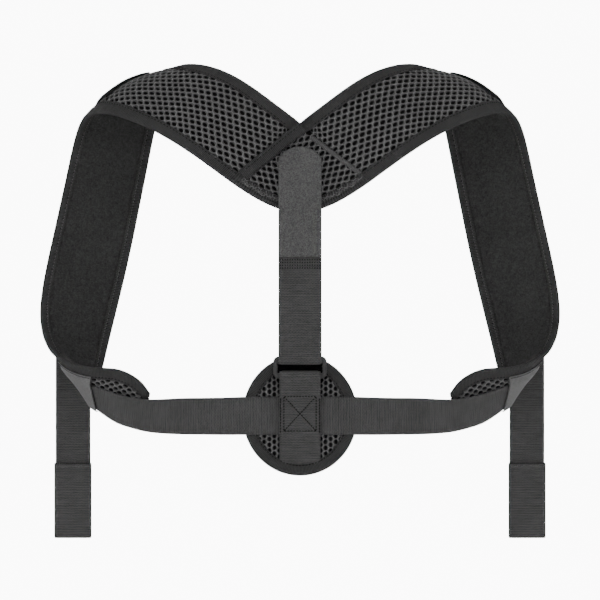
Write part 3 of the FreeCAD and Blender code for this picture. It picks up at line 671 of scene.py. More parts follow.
def pad_plush(side):
    mirror = side == "right"
    ks = k_of(np.linspace(a_of(KS) - 4, a_of(KE) - 1.2, 230))
    side_d = np.array([3.0, 5.2, 6.6, 7.3, 7.8, 8.4, 9.4, 11.0])
    nv = 27
    secs, uv = [], []
    vs = np.linspace(0, 1, nv)
    for k in ks:
        w = w_of(k)
        a = a_of(k)
        dd = side_d * min(1.0, w / 27.0)
        vv = np.concatenate([dd, np.linspace(dd[-1], w - dd[-1], 13)[1:-1], (w - dd)[::-1]]) / w
        d = np.minimum(vv, 1 - vv) * w
        rel = 0.16 * wav(a + vs * 31, 3, 9.0) + 0.10 * wav(a * 2.2 + vs * 77, 5, 6.0)
        h = h_in(d) + rel * smooth(d, 6, 12) - 0.75 * np.exp(-((d - 7.75) / 0.55) ** 2)
        top = surf(np.full(nv, k), vv, h)
        bot = surf(np.full(nv, k), vv[::-1], h_in(d[::-1]) - 1.6)
        secs.append(np.concatenate([top, bot]))
        uv.append(np.stack([np.concatenate([vs * w, vs[::-1] * w + 200]), np.full(2 * nv, a)], 1))
    V, F = tube(np.stack(secs))
    return fix_normals(make(side + "_pad_plush", V, F, M_PLUSH, uv=np.concatenate(uv), mirror=mirror))


def bind_profile(k, sd, bo=9.5, bi=7.2, seed=1):
    w = w_of(k)
    lim = 0.46 * w
    o, i = min(bo, lim), min(bi, lim)
    a = a_of(abs(k)) * (1 if k >= 0 else -1)
    pk = 0.20 * wav(a + 300, seed, 4.6) + 0.10 * math.sin(a * 2 * math.pi / 3.4 + 2 * wav(a + 300, seed + 2, 25.0))
    hO, hI = h_out(o), h_in(i)
    pr = [(o + 0.1, -(hO - 0.35)), (o + 0.05 + 0.1 * pk, -(hO + 0.22)), (o - 0.7, -(hO + 0.48 + 0.5 * pk)),
          (o - 1.7, -(h_out(o - 1.7) + 0.12)), (o - 2.6, -(h_out(o - 2.6) + 0.56 + pk)),
          (o * 0.5, -(h_out(o * 0.5) + 0.62 + pk)), (2.0, -(h_out(2.0) + 0.55 + pk)),
          (0.6, -(2.15)), (-0.45, -1.45), (-0.95, -0.5), (-0.95, 0.5), (-0.45, 1.45), (0.6, 2.15),
          (2.0, h_in(2.0) + 0.50 + pk), (i * 0.5, h_in(i * 0.5) + 0.58 + pk), (i - 2.4, h_in(i - 2.4) + 0.50 + pk),
          (i - 1.5, h_in(i - 1.5) + 0.44 + 0.6 * pk), (i - 0.5, hI + 0.50 + 0.4 * pk), (i, hI + 0.25), (i + 0.05, hI - 0.6),
          (3.0, 1.2), (1.6, 0.6), (1.6, -0.6), (3.0, -1.2)]
    return np.array(pr), w


def yoke_profile(k, seed):
    # lower edge of the yoke: a stitched channel between two grooves
    w = w_of(k)
    a = a_of(abs(k)) * (1 if k >= 0 else -1)
    pk = 0.10 * wav(a + 300, seed, 4.2)
    H = h_out
    pr = [(9.6, -(H(9.6) - 0.4)), (9.5, -(H(9.5) + 0.30)), (9.0, -(H(9.0) + 0.55)), (8.5, -(H(8.5) + 0.10)), (7.9, -(H(7.9) + 0.45)),
          (5.8, -(H(5.8) + 0.62 + pk)), (3.8, -(H(3.8) + 0.52)), (3.2, -(H(3.2) + 0.12)), (2.4, -(H(2.4) + 0.60 + pk)),
          (0.6, -2.15), (-0.45, -1.45), (-0.95, -0.5), (-0.95, 0.5), (-0.45, 1.45), (0.6, 2.15),
          (2.0, h_in(2.0) + 0.50 + pk), (3.6, h_in(3.6) + 0.58 + pk), (5.0, h_in(5.0) + 0.50 + pk), (7.2, h_in(7.2) + 0.2), (7.25, h_in(7.2) - 0.35),
          (3.0, 1.2), (1.6, 0.6), (1.6, -0.6), (3.0, -1.2)]
    return np.array(pr), w


def binding(name, sd, k0, k1, n, mirror, seed=1, bo=9.5, bi=7.2, both=False):
    if both:
        ks = np.linspace(k0, k1, n)
    else:
        ks = k_of(np.linspace(a_of(k0), a_of(k1), n))
    secs, uv = [], []
    for k in ks:
        pr, w = yoke_profile(k, seed) if both else bind_profile(k, sd, bo, bi, seed)
        d, nn = pr[:, 0], pr[:, 1]
        v = np.clip(d, 0, None) / w
        v = v if sd == 0 else 1 - v
        P = surf(np.full(len(d), k), v, nn)
        e = 0.0 if sd == 0 else 1.0
        q = mid([k], [e])[0] - mid([k], [0.06 if sd == 0 else 0.94])[0]
        q /= np.linalg.norm(q)
        P = P + q[None, :] * np.clip(-d, 0, None)[:, None]
        secs.append(P)
        run = np.concatenate([[0], np.cumsum(np.linalg.norm(np.diff(P, axis=0), axis=1))])
        uv.append(np.stack([run, np.full(len(d), a_of(abs(k)) * (1 if k >= 0 else -1))], 1))
    V, F = tube(np.stack(secs))
    return fix_normals(make(name, V, F, M_BIND, uv=np.concatenate(uv), mirror=mirror))


def edge_stitches(name, sd, k0, k1, d, face, mat, mirror, pitch=3.1, lift=0.1, length=2.1, rad=0.40, zig=0.0, both=False):
    if both:
        kk = np.linspace(k0, k1, 400)
        P = mid(kk, np.full(400, 0.0 if sd == 0 else 1.0))
        run = np.concatenate([[0], np.cumsum(np.linalg.norm(np.diff(P, axis=0), axis=1))])
        t = np.arange(pitch / 2, run[-1], pitch)
        k = np.interp(t, run, kk)
    else:
        kk = np.linspace(k0, k1, 1500)
        w = w_of(kk)
        v = np.minimum(d, 0.42 * w) / w
        P = mid(kk, v if sd == 0 else 1 - v)
        run = np.concatenate([[0], np.cumsum(np.linalg.norm(np.diff(P, axis=0), axis=1))])
        t = np.arange(pitch / 2, run[-1], pitch)
        k = np.interp(t, run, kk)
    w = w_of(k)
    dd = np.minimum(d, 0.42 * w) + zig * np.where(np.arange(len(k)) % 2, 1, -1) * 0
    v = dd / w
    v = v if sd == 0 else 1 - v
    h = (h_out(dd) if face < 0 else h_in(dd)) + lift
    P = surf(k, v, face * h)
    e = 0.01
    T = mid(k + e, v) - mid(k - e, v)
    N = nrm(k, v) * face
    if zig:
        T = T / np.linalg.norm(T, axis=1)[:, None]
        S = np.cross(T, N)
        T = T + S * (zig * np.where(np.arange(len(k)) % 2, 1, -1))[:, None]
    return stitch_mesh(name, P, T, N, mat, length=length, rad=rad, mirror=mirror, jitter=0.06)


def ride(o, body, *nodes, slot=None):
    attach(o, body)
    if nodes:
        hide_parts(*nodes)
    return o


for side in ("left", "right"):
    mir = side == "right"
    ride(pad_net(side), "harness", side + "_pad_cover", slot="air_mesh")
    o = ride(pad_body(side), "harness", side + "_pad_core", slot="foam")
    ride(pad_plush(side), "harness", side + "_pad_lining", slot="lining_plush")
    ride(binding(side + "_bind_armhole", 0, KS - 0.02, KE, 420, mir, seed=1), "harness", side + "_armhole_binding", slot="binding_tape")
    ride(binding(side + "_bind_neck", 1, 0.0, KE, 460, mir, seed=9), "harness", side + "_neck_binding", slot="binding_tape")
    for sd, nm, k0 in ((0, "armhole", KS), (1, "neck", 3.0)):
        ride(edge_stitches("%s_stitch_%s_out" % (side, nm), sd, k0, KE - 0.4, 7.8, -1, M_THREAD_D, mir, pitch=3.4, lift=0.18, length=2.3, rad=0.42), "harness", slot="thread")
        ride(edge_stitches("%s_stitch_%s_in" % (side, nm), sd, k0, KE - 0.4, 4.5, 1, M_THREAD_D, mir, pitch=4.6, lift=0.50, length=1.25, rad=0.50), "harness", slot="thread")
        ride(edge_stitches("%s_stitch_%s_run" % (side, nm), sd, k0, KE - 0.4, 5.2, 1, M_THREAD_M, mir, pitch=2.6, lift=0.56, length=1.9, rad=0.30, zig=0.35), "harness", slot="thread")

# ---------------------------------------------------------------- yoke
def in_poly(x, y, poly):
    inside = np.zeros(len(x), bool)
    n = len(poly)
    for i in range(n):
        x1, y1 = poly[i]
        x2, y2 = poly[(i + 1) % n]
        c = ((y1 > y) != (y2 > y)) & (x < (x2 - x1) * (y - y1) / (y2 - y1 + 1e-12) + x1)
        inside ^= c
    return inside


kk = np.linspace(-KS - 1.2, KS + 1.2, 161)
lowc = mid(kk, np.zeros(161))[:, [0, 2]]


def low_dist(x, z):
    d = np.hypot(lowc[None, :, 0] - x[:, None], lowc[None, :, 1] - z[:, None])
    return d.min(1)


def yoke_h(x, z):
    e = low_dist(x, z)
    return 3.0 - 0.55 * np.exp(-((e - 9.9) / 1.1) ** 2) - 0.5 * (1 - smooth(-seam_dist(-np.abs(x), z), 0.0, 3.0))


for half_, sg in (("left", 1.0), ("right", -1.0)):
    E = np.array([0.72, -0.694])      # direction of the holes on the left half
    Q = np.array([0.694, 0.72])
    L = lattice(4.5, 5.8, -120, 120, -120, 120)
    xz = L[:, :1] * E + L[:, 1:] * Q
    ins = in_poly(xz[:, 0], xz[:, 1], np.concatenate([lowc, [[80, 60], [-80, 60]]]))
    ok = ins & (xz[:, 0] < (-9.0 if sg > 0 else 9.0)) & (low_dist(xz[:, 0], xz[:, 1]) > 6.0) & (seam_dist(xz[:, 0], xz[:, 1]) < (-7.0 if sg > 0 else -2.4))
    ok &= seam_dist(-xz[:, 0], xz[:, 1]) < -4.0

    def yoke_map(p, q, d, E=E, Q=Q):
        g = p[:, None] * E + q[:, None] * Q
        return np.stack([g[:, 0], depth_at(g[:, 0], g[:, 1]) - (yoke_h(g[:, 0], g[:, 1]) - d), g[:, 1]], 1)

    o = net_cells(L[ok], yoke_map, "yoke_net_" + half_, M_NET, mirror=sg < 0, seed=17)
    ride(o, "harness", *(["yoke_cover"] if sg > 0 else []), slot="air_mesh")
kks = np.linspace(-KS, KS, 60)
secs, uvs, secs2 = [], [], []
vs = np.linspace(0, 1, 15)
for k in kks:
    top = surf(np.full(15, k), 0.02 + vs * 0.95, np.full(15, -1.35))
    bot = surf(np.full(15, k), (0.02 + vs * 0.95)[::-1], np.full(15, 2.2))
    secs.append(np.concatenate([top, bot]))
    t2 = surf(np.full(15, k), 0.04 + vs * 0.92, h_in(np.minimum(vs, 1 - vs) * 74) * 0.98)
    b2 = surf(np.full(15, k), (0.04 + vs * 0.92)[::-1], np.full(15, 1.6))
    secs2.append(np.concatenate([t2, b2]))
    uvs.append(np.stack([np.concatenate([vs, vs[::-1] + 3]) * 74, np.full(30, k * 17.0)], 1))
V, F = tube(np.stack(secs))
o = ride(fix_normals(make("yoke_foam", V, F, M_BACKING_AND_SLOT_SHADE, uv=np.concatenate(uvs))), "harness", "yoke_core", slot="foam")
V, F = tube(np.stack(secs2))
ride(fix_normals(make("yoke_plush", V, F, M_PLUSH, uv=np.concatenate(uvs))), "harness", "yoke_lining", slot="lining_plush")
ride(binding("yoke_bind", 0, -KS, KS, 150, False, seed=4, both=True), "harness", "yoke_binding", slot="binding_tape")
ride(edge_stitches("yoke_zigzag", 0, -3.05, 3.05, 5.85, -1, M_THREAD, False, pitch=1.45, lift=0.66, length=3.9, rad=0.28, zig=1.9, both=True), "harness", slot="thread")
for q_, dg in enumerate((3.2, 8.5)):
    ride(edge_stitches("yoke_row_%d" % q_, 0, -3.1, 3.1, dg, -1, M_THREAD_D, False, pitch=2.5, lift=0.16, length=2.1, rad=0.38, both=True), "harness", slot="thread")
ride(edge_stitches("yoke_zigzag_in", 0, -KS, KS, 5.0, 1, M_THREAD_D, False, pitch=4.2, lift=0.45, length=1.3, rad=0.45, both=True), "harness", slot="thread")


def line_band(name, p0, p1, prof, mat, mirror, n=70, pucker=0.1, seed=21, sink=7.0):
    # band along a straight line of the XZ plane; profile as (distance, height)
    p0, p1 = np.array(p0, float), np.array(p1, float)
    d = (p1 - p0) / np.linalg.norm(p1 - p0)
    c = np.array([d[1], -d[0]])
    if c[0] < 0:
        c = -c
    L_ = np.linalg.norm(p1 - p0)
    t = np.linspace(0, L_, n)
    pr = np.array(prof)
    g = p0 + d * t[:, None]
    X = g[:, None, 0] + c[0] * pr[None, :, 0]
    Z = g[:, None, 1] + c[1] * pr[None, :, 0]
    Y = depth_at(X.ravel(), Z.ravel()).reshape(X.shape)
    for _ in range(4):
        Y[1:-1] = 0.5 * Y[1:-1] + 0.25 * (Y[:-2] + Y[2:])
    pk = pucker * wav(t, seed, 3.2)[:, None] * (pr[None, :, 1] > 3.2)
    f = (1 - 0.62 * (1 - smooth(L_ - t, 0.0, sink)))[:, None]
    secs = np.stack([X, Y - (1.5 + (pr[None, :, 1] - 1.5 + pk) * f), Z], 2)
    V, F = tube(secs)
    uv = np.stack([np.broadcast_to(pr[None, :, 0], X.shape), np.broadcast_to(t[:, None], X.shape)], 2).reshape(-1, 2)
    return fix_normals(make(name, V, F, mat, uv=uv, mirror=mirror))


def line_stitch(name, p0, p1, off, h, mat, mirror, pitch=3.0, length=2.0, rad=0.4, zig=0.0):
    p0, p1 = np.array(p0, float), np.array(p1, float)
    d = (p1 - p0) / np.linalg.norm(p1 - p0)
    c = np.array([d[1], -d[0]])
    if c[0] < 0:
        c = -c
    t = np.arange(pitch / 2, np.linalg.norm(p1 - p0), pitch)
    g = p0 + d * t[:, None] + c * off
    P = np.stack([g[:, 0], depth_at(g[:, 0], g[:, 1]) - h, g[:, 1]], 1)
    alt = np.where(np.arange(len(t)) % 2, 1.0, -1.0)[:, None] * zig
    T = np.stack([d[0] + c[0] * alt[:, 0], np.zeros(len(t)), d[1] + c[1] * alt[:, 0]], 1)
    return stitch_mesh(name, P, T, np.tile([0, -1.0, 0], (len(t), 1)), mat, length=length, rad=rad, mirror=mirror, jitter=0.08)


# on the left the upper strap's bound edge lies over the lower strap
EDGE = [(-0.7, 2.0), (-0.55, 3.6), (-0.1, 4.55), (0.6, 4.85), (1.5, 4.75), (2.1, 4.35), (2.8, 4.65), (4.6, 4.55), (6.6, 4.15), (8.2, 3.85), (8.8, 3.45), (9.3, 3.75), (9.8, 3.4), (10.0, 2.6), (7.0, 1.6), (2.0, 1.6)]
S_END = S_LOW + (S_TOP - S_LOW) / np.linalg.norm(S_TOP - S_LOW) * 2.5
ride(line_band("left_seam_edge", S_TOP, S_END, EDGE, M_BIND, False), "harness", "left_seam_band", slot="binding_tape")
ride(line_stitch("left_seam_row", S_TOP, S_END - S_DIR * 7, 2.1, 4.45, M_THREAD_D, False), "harness", slot="thread")
ride(line_stitch("left_seam_row2", S_TOP + S_DIR * 9, S_END - S_DIR * 9, 8.8, 3.55, M_THREAD_D, False), "harness", slot="thread")
# on the right the lower strap's edge shows through as a sewn ridge
RT, RL, RE = np.array([-9.4, 27.2]), np.array([-46.4, -0.4]), np.array([-51.2, -4.0])
RIDGE = [(-2.1, 2.3), (-1.9, 2.9), (-1.0, 3.55), (0.2, 3.7), (1.3, 3.5), (1.9, 2.9), (2.1, 2.3), (0.8, 1.8), (-0.8, 1.8), (-1.5, 1.8)]
ride(line_band("right_seam_ridge", RT, RE, RIDGE, M_RIDGE, True, pucker=0.22, seed=25), "harness", "right_seam_band", slot="binding_tape")
ride(line_stitch("right_seam_zigzag", RT, RL, 0.0, 3.62, M_THREAD, True, pitch=1.6, length=2.6, rad=0.26, zig=1.3), "harness", slot="thread")
ride(line_stitch("right_seam_row", RT, RL, -2.2, 3.1, M_THREAD_D, True, pitch=2.6, length=2.0, rad=0.36), "harness", slot="thread")

# ---------------------------------------------------------------- landing strips and keepers
def patch(name, ks, vs, off, thick, mat, mirror, uvs=1.0):
    nk, nv = len(ks), len(vs)
    secs, uv = [], []
    for i, k in enumerate(ks):
        w = w_of(k)
        o = off(k, vs)
        tp = surf(np.full(nv, k), vs, -(o + thick))
        bt = surf(np.full(nv, k), vs[::-1], -o[::-1])
        secs.append(np.concatenate([tp, bt]))
        uv.append(np.stack([np.concatenate([vs * w, vs[::-1] * w + 200]), np.full(2 * nv, a_of(k))], 1))
    V, F = tube(np.stack(secs))
    return fix_normals(make(name, V, F, mat, uv=np.concatenate(uv), mirror=mirror))


for side in ("left", "right"):
    mir = side == "right"
    ks = k_of(np.linspace(a_of(9.5), a_of(18.6), 120))
    vs = np.linspace(0.18, 0.78, 16)

    def off_l(k, v):
        d = np.minimum(v, 1 - v) * w_of(k)
        return h_out(d) + 0.15 + 0.9 * (1 - smooth(a_of(k) - a_of(9.5), 2.0, 24.0))

    ride(patch(side + "_landing", ks, vs, off_l, 1.6, M_LOOPD, mir), "harness", side + "_landing_strip", slot="loop_tape")
    kk2 = np.array([9.62] * 26 + list(k_of(np.linspace(a_of(9.7), a_of(18.5), 110))) * 2 + [18.5] * 26)
    vv2 = np.concatenate([np.linspace(0.21, 0.75, 26), np.full(110, 0.215), np.full(110, 0.745), np.linspace(0.21, 0.75, 26)])
    d2 = np.minimum(vv2, 1 - vv2) * w_of(kk2)
    P = surf(kk2, vv2, -(h_out(d2) + 1.8 + 0.9 * (1 - smooth(a_of(kk2) - a_of(9.5), 2.0, 24.0))))
    T = np.where((np.arange(len(kk2)) < 26)[:, None] | (np.arange(len(kk2)) >= 246)[:, None], mid(kk2, vv2 + .01) - mid(kk2, vv2 - .01), mid(kk2 + .01, vv2) - mid(kk2 - .01, vv2))
    ride(stitch_mesh(side + "_landing_stitch", P, T, -nrm(kk2, vv2), M_THREAD_D, length=1.6, rad=0.33, mirror=mir), "harness", slot="thread")

    # keeper: raised over the webbing, sewn down at both edges
    ks = np.linspace(21.5, 24.25, 60)
    vs = np.concatenate([np.linspace(0.14, 0.24, 5), np.linspace(0.27, 0.92, 16), [0.945, 0.965]])

    def off_k(k, v):
        return 3.2 + 2.75 * smooth(v, 0.19, 0.29) * (1 - smooth(v, 0.92, 0.97) * 0.5)

    ride(patch(side + "_keeper_patch", ks, vs, off_k, 1.1, M_TAPE, mir), "harness", side + "_keeper", slot="webbing")
    kq = np.linspace(21.6, 24.15, 24)
    P = surf(kq, np.full(24, 0.165), np.full(24, -4.42))
    T = mid(kq + .02, np.full(24, 0.165)) - mid(kq - .02, np.full(24, 0.165))
    ride(stitch_mesh(side + "_keeper_stitch", P, T, -nrm(kq, np.full(24, 0.165)), M_THREAD_D, length=1.5, rad=0.42, mirror=mir), "harness", slot="thread")

# ---------------------------------------------------------------- side webbing and tails
TM, TW, TP, TT, SEAM = -200.2, 15.4, 124.0, -145.0, -251.9


def side_web():
    S = np.linspace(0, len(SIDE_WEB) - 1, 60)
    A, B = cr(SIDE_WEB[:, :3], S), cr(SIDE_WEB[:, 3:], S)
    off = -3.2 - 0.5 - 0.45 - 0.7
    ks = np.linspace(23.6, 20.0, 26)
    f = (23.6 - ks) / 3.6
    A2, B2 = surf(ks, 0.30 - 0.08 * f, np.full(26, off)), surf(ks, 0.93 - 0.13 * f, np.full(26, off))
    # smooth join
    A = np.concatenate([A[:-1], A2])
    B = np.concatenate([B[:-1], B2])
    for _ in range(6):
        A[1:-1] = A[1:-1] + 0.3 * (A[:-2] - 2 * A[1:-1] + A[2:])
        B[1:-1] = B[1:-1] + 0.3 * (B[:-2] - 2 * B[1:-1] + B[2:])
    A[:30] = cr(SIDE_WEB[:, :3], S)[:30]
    B[:30] = cr(SIDE_WEB[:, 3:], S)[:30]
    A = np.concatenate([A, crspath([A[-1], (TM - TW, 112.0, TT + 4.5), (TM - TW, 118.5, TT + 7.6), (TM - TW, 122.8, TT + 5.2), (TM - TW, TP + 0.6, TT - 1.0), (TM - TW, TP + 0.7, TT - 12)], 40)[1:]])
    B = np.concatenate([B, crspath([B[-1], (TM + TW, 114.0, TT + 0.5), (TM + TW, 119.5, TT + 4.4), (TM + TW, 123.0, TT + 3.2), (TM + TW, TP + 0.6, TT - 2.0), (TM + TW, TP + 0.7, TT - 12)], 40)[1:]])
    mid_ = (A + B) / 2
    run = np.concatenate([[0], np.cumsum(np.linalg.norm(np.diff(mid_, axis=0), axis=1))])
    t = np.linspace(0, run[-1], int(run[-1] / 2.0))
    A = np.stack([np.interp(t, run, A[:, c]) for c in range(3)], 1)
    B = np.stack([np.interp(t, run, B[:, c]) for c in range(3)], 1)
    return A, B


WA, WB = side_web()
# split where the strap leaves the keeper for the front: the first part runs
# from the spine pad, the second part bends into the hanging tail
cut = int(np.argmin(np.abs((WA[:, 1] + WB[:, 1]) / 2 - 88)))
for side in ("left", "right"):
    mir = side == "right"
    o = band(side + "_side_webbing", WA[:cut + 1], WB[:cut + 1], 1.4, M_WEB, mirror=mir, wob=0.10, seed=31)
    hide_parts(side + "_webbing")
    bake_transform(o)
    o = band(side + "_webbing_fold", WA[cut:], WB[cut:], 1.4, M_WEB, mirror=mir, wob=0.06, seed=33)
    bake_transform(o)
    z = np.linspace(TT - 11.5, SEAM - 5.5, 60)
    yy = TP + 0.7 + 0.25 * wav(z + 400, 41, 30.0) * smooth(-z, 160, 180)
    A = np.stack([np.full(60, TM - TW), yy, z], 1)
    B = np.stack([np.full(60, TM + TW), yy + 0.15 * wav(z + 300, 43, 25.0), z], 1)
    o = band(side + "_tail_web", A, B, 1.4, M_WEB, mirror=mir, wob=0.12, seed=35)
    ride(o, side + "_tail", side + "_tail_strap", slot="webbing")
    z = np.linspace(SEAM, SEAM - 66.5, 44)
    yy = TP - 0.2 - 0.75 + 0.10 * wav(z + 500, 47, 22.0)
    A = np.stack([np.full(44, TM - 16.5), yy, z], 1)
    B = np.stack([np.full(44, TM + 16.5), yy, z], 1)
    A[0, 0] += 0.4; A[-1, 0] += 0.8; B[0, 0] -= 0.4; B[-1, 0] -= 0.8
    o = band(side + "_tab", A, B, 1.5, M_WEB, mirror=mir, wob=0.10, seed=37, edge=0.7)
    ride(o, side + "_hook_tab", side + "_hook_tab", slot="webbing")
    z = np.linspace(SEAM - 8.0, SEAM - 65.3, 30)
    A = np.stack([np.full(30, TM - 15.3), np.full(30, TP + 0.25), z], 1)
    B = np.stack([np.full(30, TM + 15.3), np.full(30, TP + 0.25), z], 1)
    o = band(side + "_tab_hooks", A, B, 0.8, M_HOOK, mirror=mir, seed=39, edge=0.3)
    ride(o, side + "_hook_tab", side + "_hook_pad", slot="hook_tape")
    xs = np.arange(-14.6, 14.7, 1.75)
    # first row: light seam stitches; second, near-black row just under the top edge: painted shadow of the tab's edge
    for q, (dz, dy, mt) in enumerate(((-3.0, -1.85, M_THREAD), (-0.5, -1.6, M_THREAD_D))):
        P = np.stack([TM + xs, np.full(len(xs), TP + dy), np.full(len(xs), SEAM + dz)], 1)
        ride(stitch_mesh("%s_tab_seam_and_shadow_%d" % (side, q), P, np.tile([1.0, 0, 0], (len(xs), 1)), np.tile([0, -1.0, 0], (len(xs), 1)), mt, length=2.3 if q == 0 else 1.9, rad=0.46, mirror=mir, jitter=0.6 if q == 0 else 0.1),
             side + "_hook_tab", *( [side + "_tab_stitches"] if q == 0 else []), slot="thread")

# ---------------------------------------------------------------- spine pad
DC, DA, DB = -204.6, 48.0, 50.5
NTH = 200
th = np.linspace(0, 2 * math.pi, NTH, endpoint=False)


def disc_pt(d, th, y):
    # d: distance in from the rim
    return np.stack([np.sin(th) * (DA - d), np.broadcast_to(y, th.shape), DC + np.cos(th) * (DB - d)], 1)


def disc_front(r):
    return -(4.6 + 1.0 * (1 - np.clip(r, 0, 1) ** 2))


prof = [(10.1, -4.0), (10.0, -5.85), (9.5, -6.35), (8.7, -5.95), (7.9, -6.4), (6.0, -6.5), (3.6, -6.25), (1.6, -5.6), (0.35, -4.4), (0.0, -3.3),
        (0.35, -2.2), (1.6, -1.0), (3.6, -0.35), (6.0, -0.18), (7.4, -0.3), (8.0, -0.7), (8.0, -1.6), (5.0, -2.4), (5.0, -4.0)]
secs, uv = [], []
for j, a in enumerate(th):
    s = a * 49
    pk = 0.20 * wav(s + 100, 51, 4.0) + 0.12 * math.sin(s * 2 * math.pi / 3.6 + 2 * wav(s, 53, 22.0))
    if j > NTH - 12:
        pk *= (NTH - j) / 12
    if j < 12:
        pk *= j / 12
    P = []
    for d, y in prof:
        yy = y + (-pk if y < -5.8 else (pk if y > -0.8 else 0))
        P.append((math.sin(a) * (DA - d), yy, DC + math.cos(a) * (DB - d)))
    secs.append(P)
    r = np.concatenate([[0], np.cumsum([math.hypot(prof[i + 1][0] - prof[i][0], prof[i + 1][1] - prof[i][1]) for i in range(len(prof) - 1)])])
    uv.append(np.stack([r, np.full(len(prof), s)], 1))
secs = np.array(secs)
V = secs.reshape(-1, 3)
F = quads(NTH, len(prof), True, True)
o = fix_normals(make("disc_bind", V, F, M_BIND, uv=np.concatenate(uv)))
# painted shade: the disc binding faces seen through the buckle slot get the near-black backing material to stand for
# the deep shadow behind the buckle
o.data.materials.append(M_BACKING_AND_SLOT_SHADE)
for f_ in o.data.polygons:
    if abs(f_.center[0]) < 0.0188 and f_.center[2] > -0.1705 and f_.center[1] < -0.0035:
        f_.material_index = 1
ride(o, "spine_pad", "disc_binding", slot="binding_tape")
cs = []
for i in range(-12, 13):
    for j in range(-11, 12):
        x, z = j * 4.9 + (2.45 if i % 2 else 0), i * 4.25
        x, z = z, x
        # painted shade: no net cells behind the buckle slot, so the near-black foam shows there as the deep shadow
        if (x / (DA - 8.5)) ** 2 + (z / (DB - 8.5)) ** 2 < 1 and not (abs(x) < 20.5 and z > 28.0):
            cs.append((z, x))


def disc_map(a, b, d):
    r = np.sqrt((a / DB) ** 2 + (b / DA) ** 2)
    f = np.where(r > 0.88, 0.88 / np.maximum(r, 1e-9), 1.0)
    return np.stack([b * f, disc_front(r) - 0.75 + d, DC + a * f], 1)


ride(net_cells([(x, z) for z, x in cs], lambda p, q, d: disc_map(q, p, d), "disc_net", M_NET, rp=1.25, rq=1.95, pitch=(4.25, 4.9)), "spine_pad", "disc_cover", slot="air_mesh")
rings = [(0.02, 0), (0.3, 0), (0.6, 0), (0.85, 0), (0.94, 0.6), (0.94, 2.8), (0.85, 3.2), (0.6, 3.4), (0.3, 3.4), (0.02, 3.4)]
secs = []
for r, dy in rings:
    y = disc_front(np.array([r]))[0] + 0.95 + (dy if dy < 3 else 0)
    if dy >= 2.8:
        y = -1.2
    secs.append(np.stack([np.sin(th) * DA * r, np.full(NTH, y), DC + np.cos(th) * DB * r], 1))
V = np.stack(secs).reshape(-1, 3)
F = quads(len(rings), NTH, False, True)
o = fix_normals(make("disc_foam", V, F, M_BACKING_AND_SLOT_SHADE, uv=V[:, [0, 2]]))
ride(o, "spine_pad", "disc_core", slot="foam")
secs = []
for r, y in [(0.01, -0.25), (0.2, -0.25), (0.4, -0.28), (0.6, -0.34), (0.75, -0.45), (0.86, -0.75), (0.9, -1.3), (0.8, -1.7), (0.4, -1.6), (0.01, -1.6)]:
    secs.append(np.stack([np.sin(th) * DA * r, np.full(NTH, y) + 0.08 * wav(th * 20 + r * 90, 61, 2.0) * (1 if r > 0.1 else 0), DC + np.cos(th) * DB * r], 1))
V = np.stack(secs).reshape(-1, 3)
o = fix_normals(make("disc_plush", V, quads(10, NTH, False, True), M_PLUSH, uv=V[:, [0, 2]]))
ride(o, "spine_pad", "disc_lining", slot="lining_plush")
for nm, d, y, s, mt in (("disc_stitch", 8.7, -6.05, -1.0, M_THREAD_D), ("disc_stitch_back", 6.8, -0.10, 1.0, M_THREAD_D)):
    nst = 92
    a = np.linspace(0, 2 * math.pi, nst, endpoint=False)
    P = disc_pt(d, a, y)
    T = disc_pt(d, a + 0.01, y) - P
    ride(stitch_mesh(nm, P, T, np.tile([0, s, 0], (nst, 1)), mt, length=2.1, rad=0.40, jitter=0.06), "spine_pad", slot="thread")

# ---------------------------------------------------------------- buckle
BT, BB, BTH = -155.3, -9.6, 3.5
BH, BW = 18.4, 44.3


def rrect(cx, cz, w, h, r, n=64):
    P = []
    for q, (sx, sz) in enumerate(((1, 1), (-1, 1), (-1, -1), (1, -1))):
        ccx, ccz = cx + sx * (w / 2 - r), cz + sz * (h / 2 - r)
        for i in range(n // 4):
            a = math.pi / 2 * (q + i / (n // 4 - 1))
            P.append((ccx + r * math.cos(a), ccz + r * math.sin(a)))
    return np.array(P)


zc = BT - BH / 2
wz1, wz0 = BT - 5.4, BT - BH + 4.4
yb0, yf0 = BB, BB - BTH


def frame_ring(name):
    loops = []
    for grow, y in ((-0.9, yf0), (-0.45, yf0 + 0.12), (-0.12, yf0 + 0.45), (0, yf0 + 0.95), (0, yb0 - 0.95), (-0.12, yb0 - 0.45), (-0.45, yb0 - 0.12), (-0.9, yb0)):
        P = rrect(0, zc, BW + 2 * grow, BH + 2 * grow, max(4.4 + grow, 0.8))
        loops.append(np.stack([P[:, 0], np.full(len(P), y), P[:, 1]], 1))
    for grow, y in ((0.55, yb0), (0.25, yb0 - 0.1), (0.05, yb0 - 0.4), (0, yb0 - 0.8), (0, yf0 + 0.8), (0.05, yf0 + 0.4), (0.25, yf0 + 0.1), (0.55, yf0)):
        P = rrect(0, (wz0 + wz1) / 2, BW - 6.6 + 2 * grow, wz1 - wz0 + 2 * grow, 1.0 + grow)
        loops.append(np.stack([P[:, 0], np.full(len(P), y), P[:, 1]], 1))
    L = np.stack(loops)
    F = quads(len(loops), 64, True, True)
    return fix_normals(make(name, L.reshape(-1, 3), F, M_PLASTIC))


ride(frame_ring("buckle_ring"), "buckle", "buckle_frame", slot="buckle_plastic")

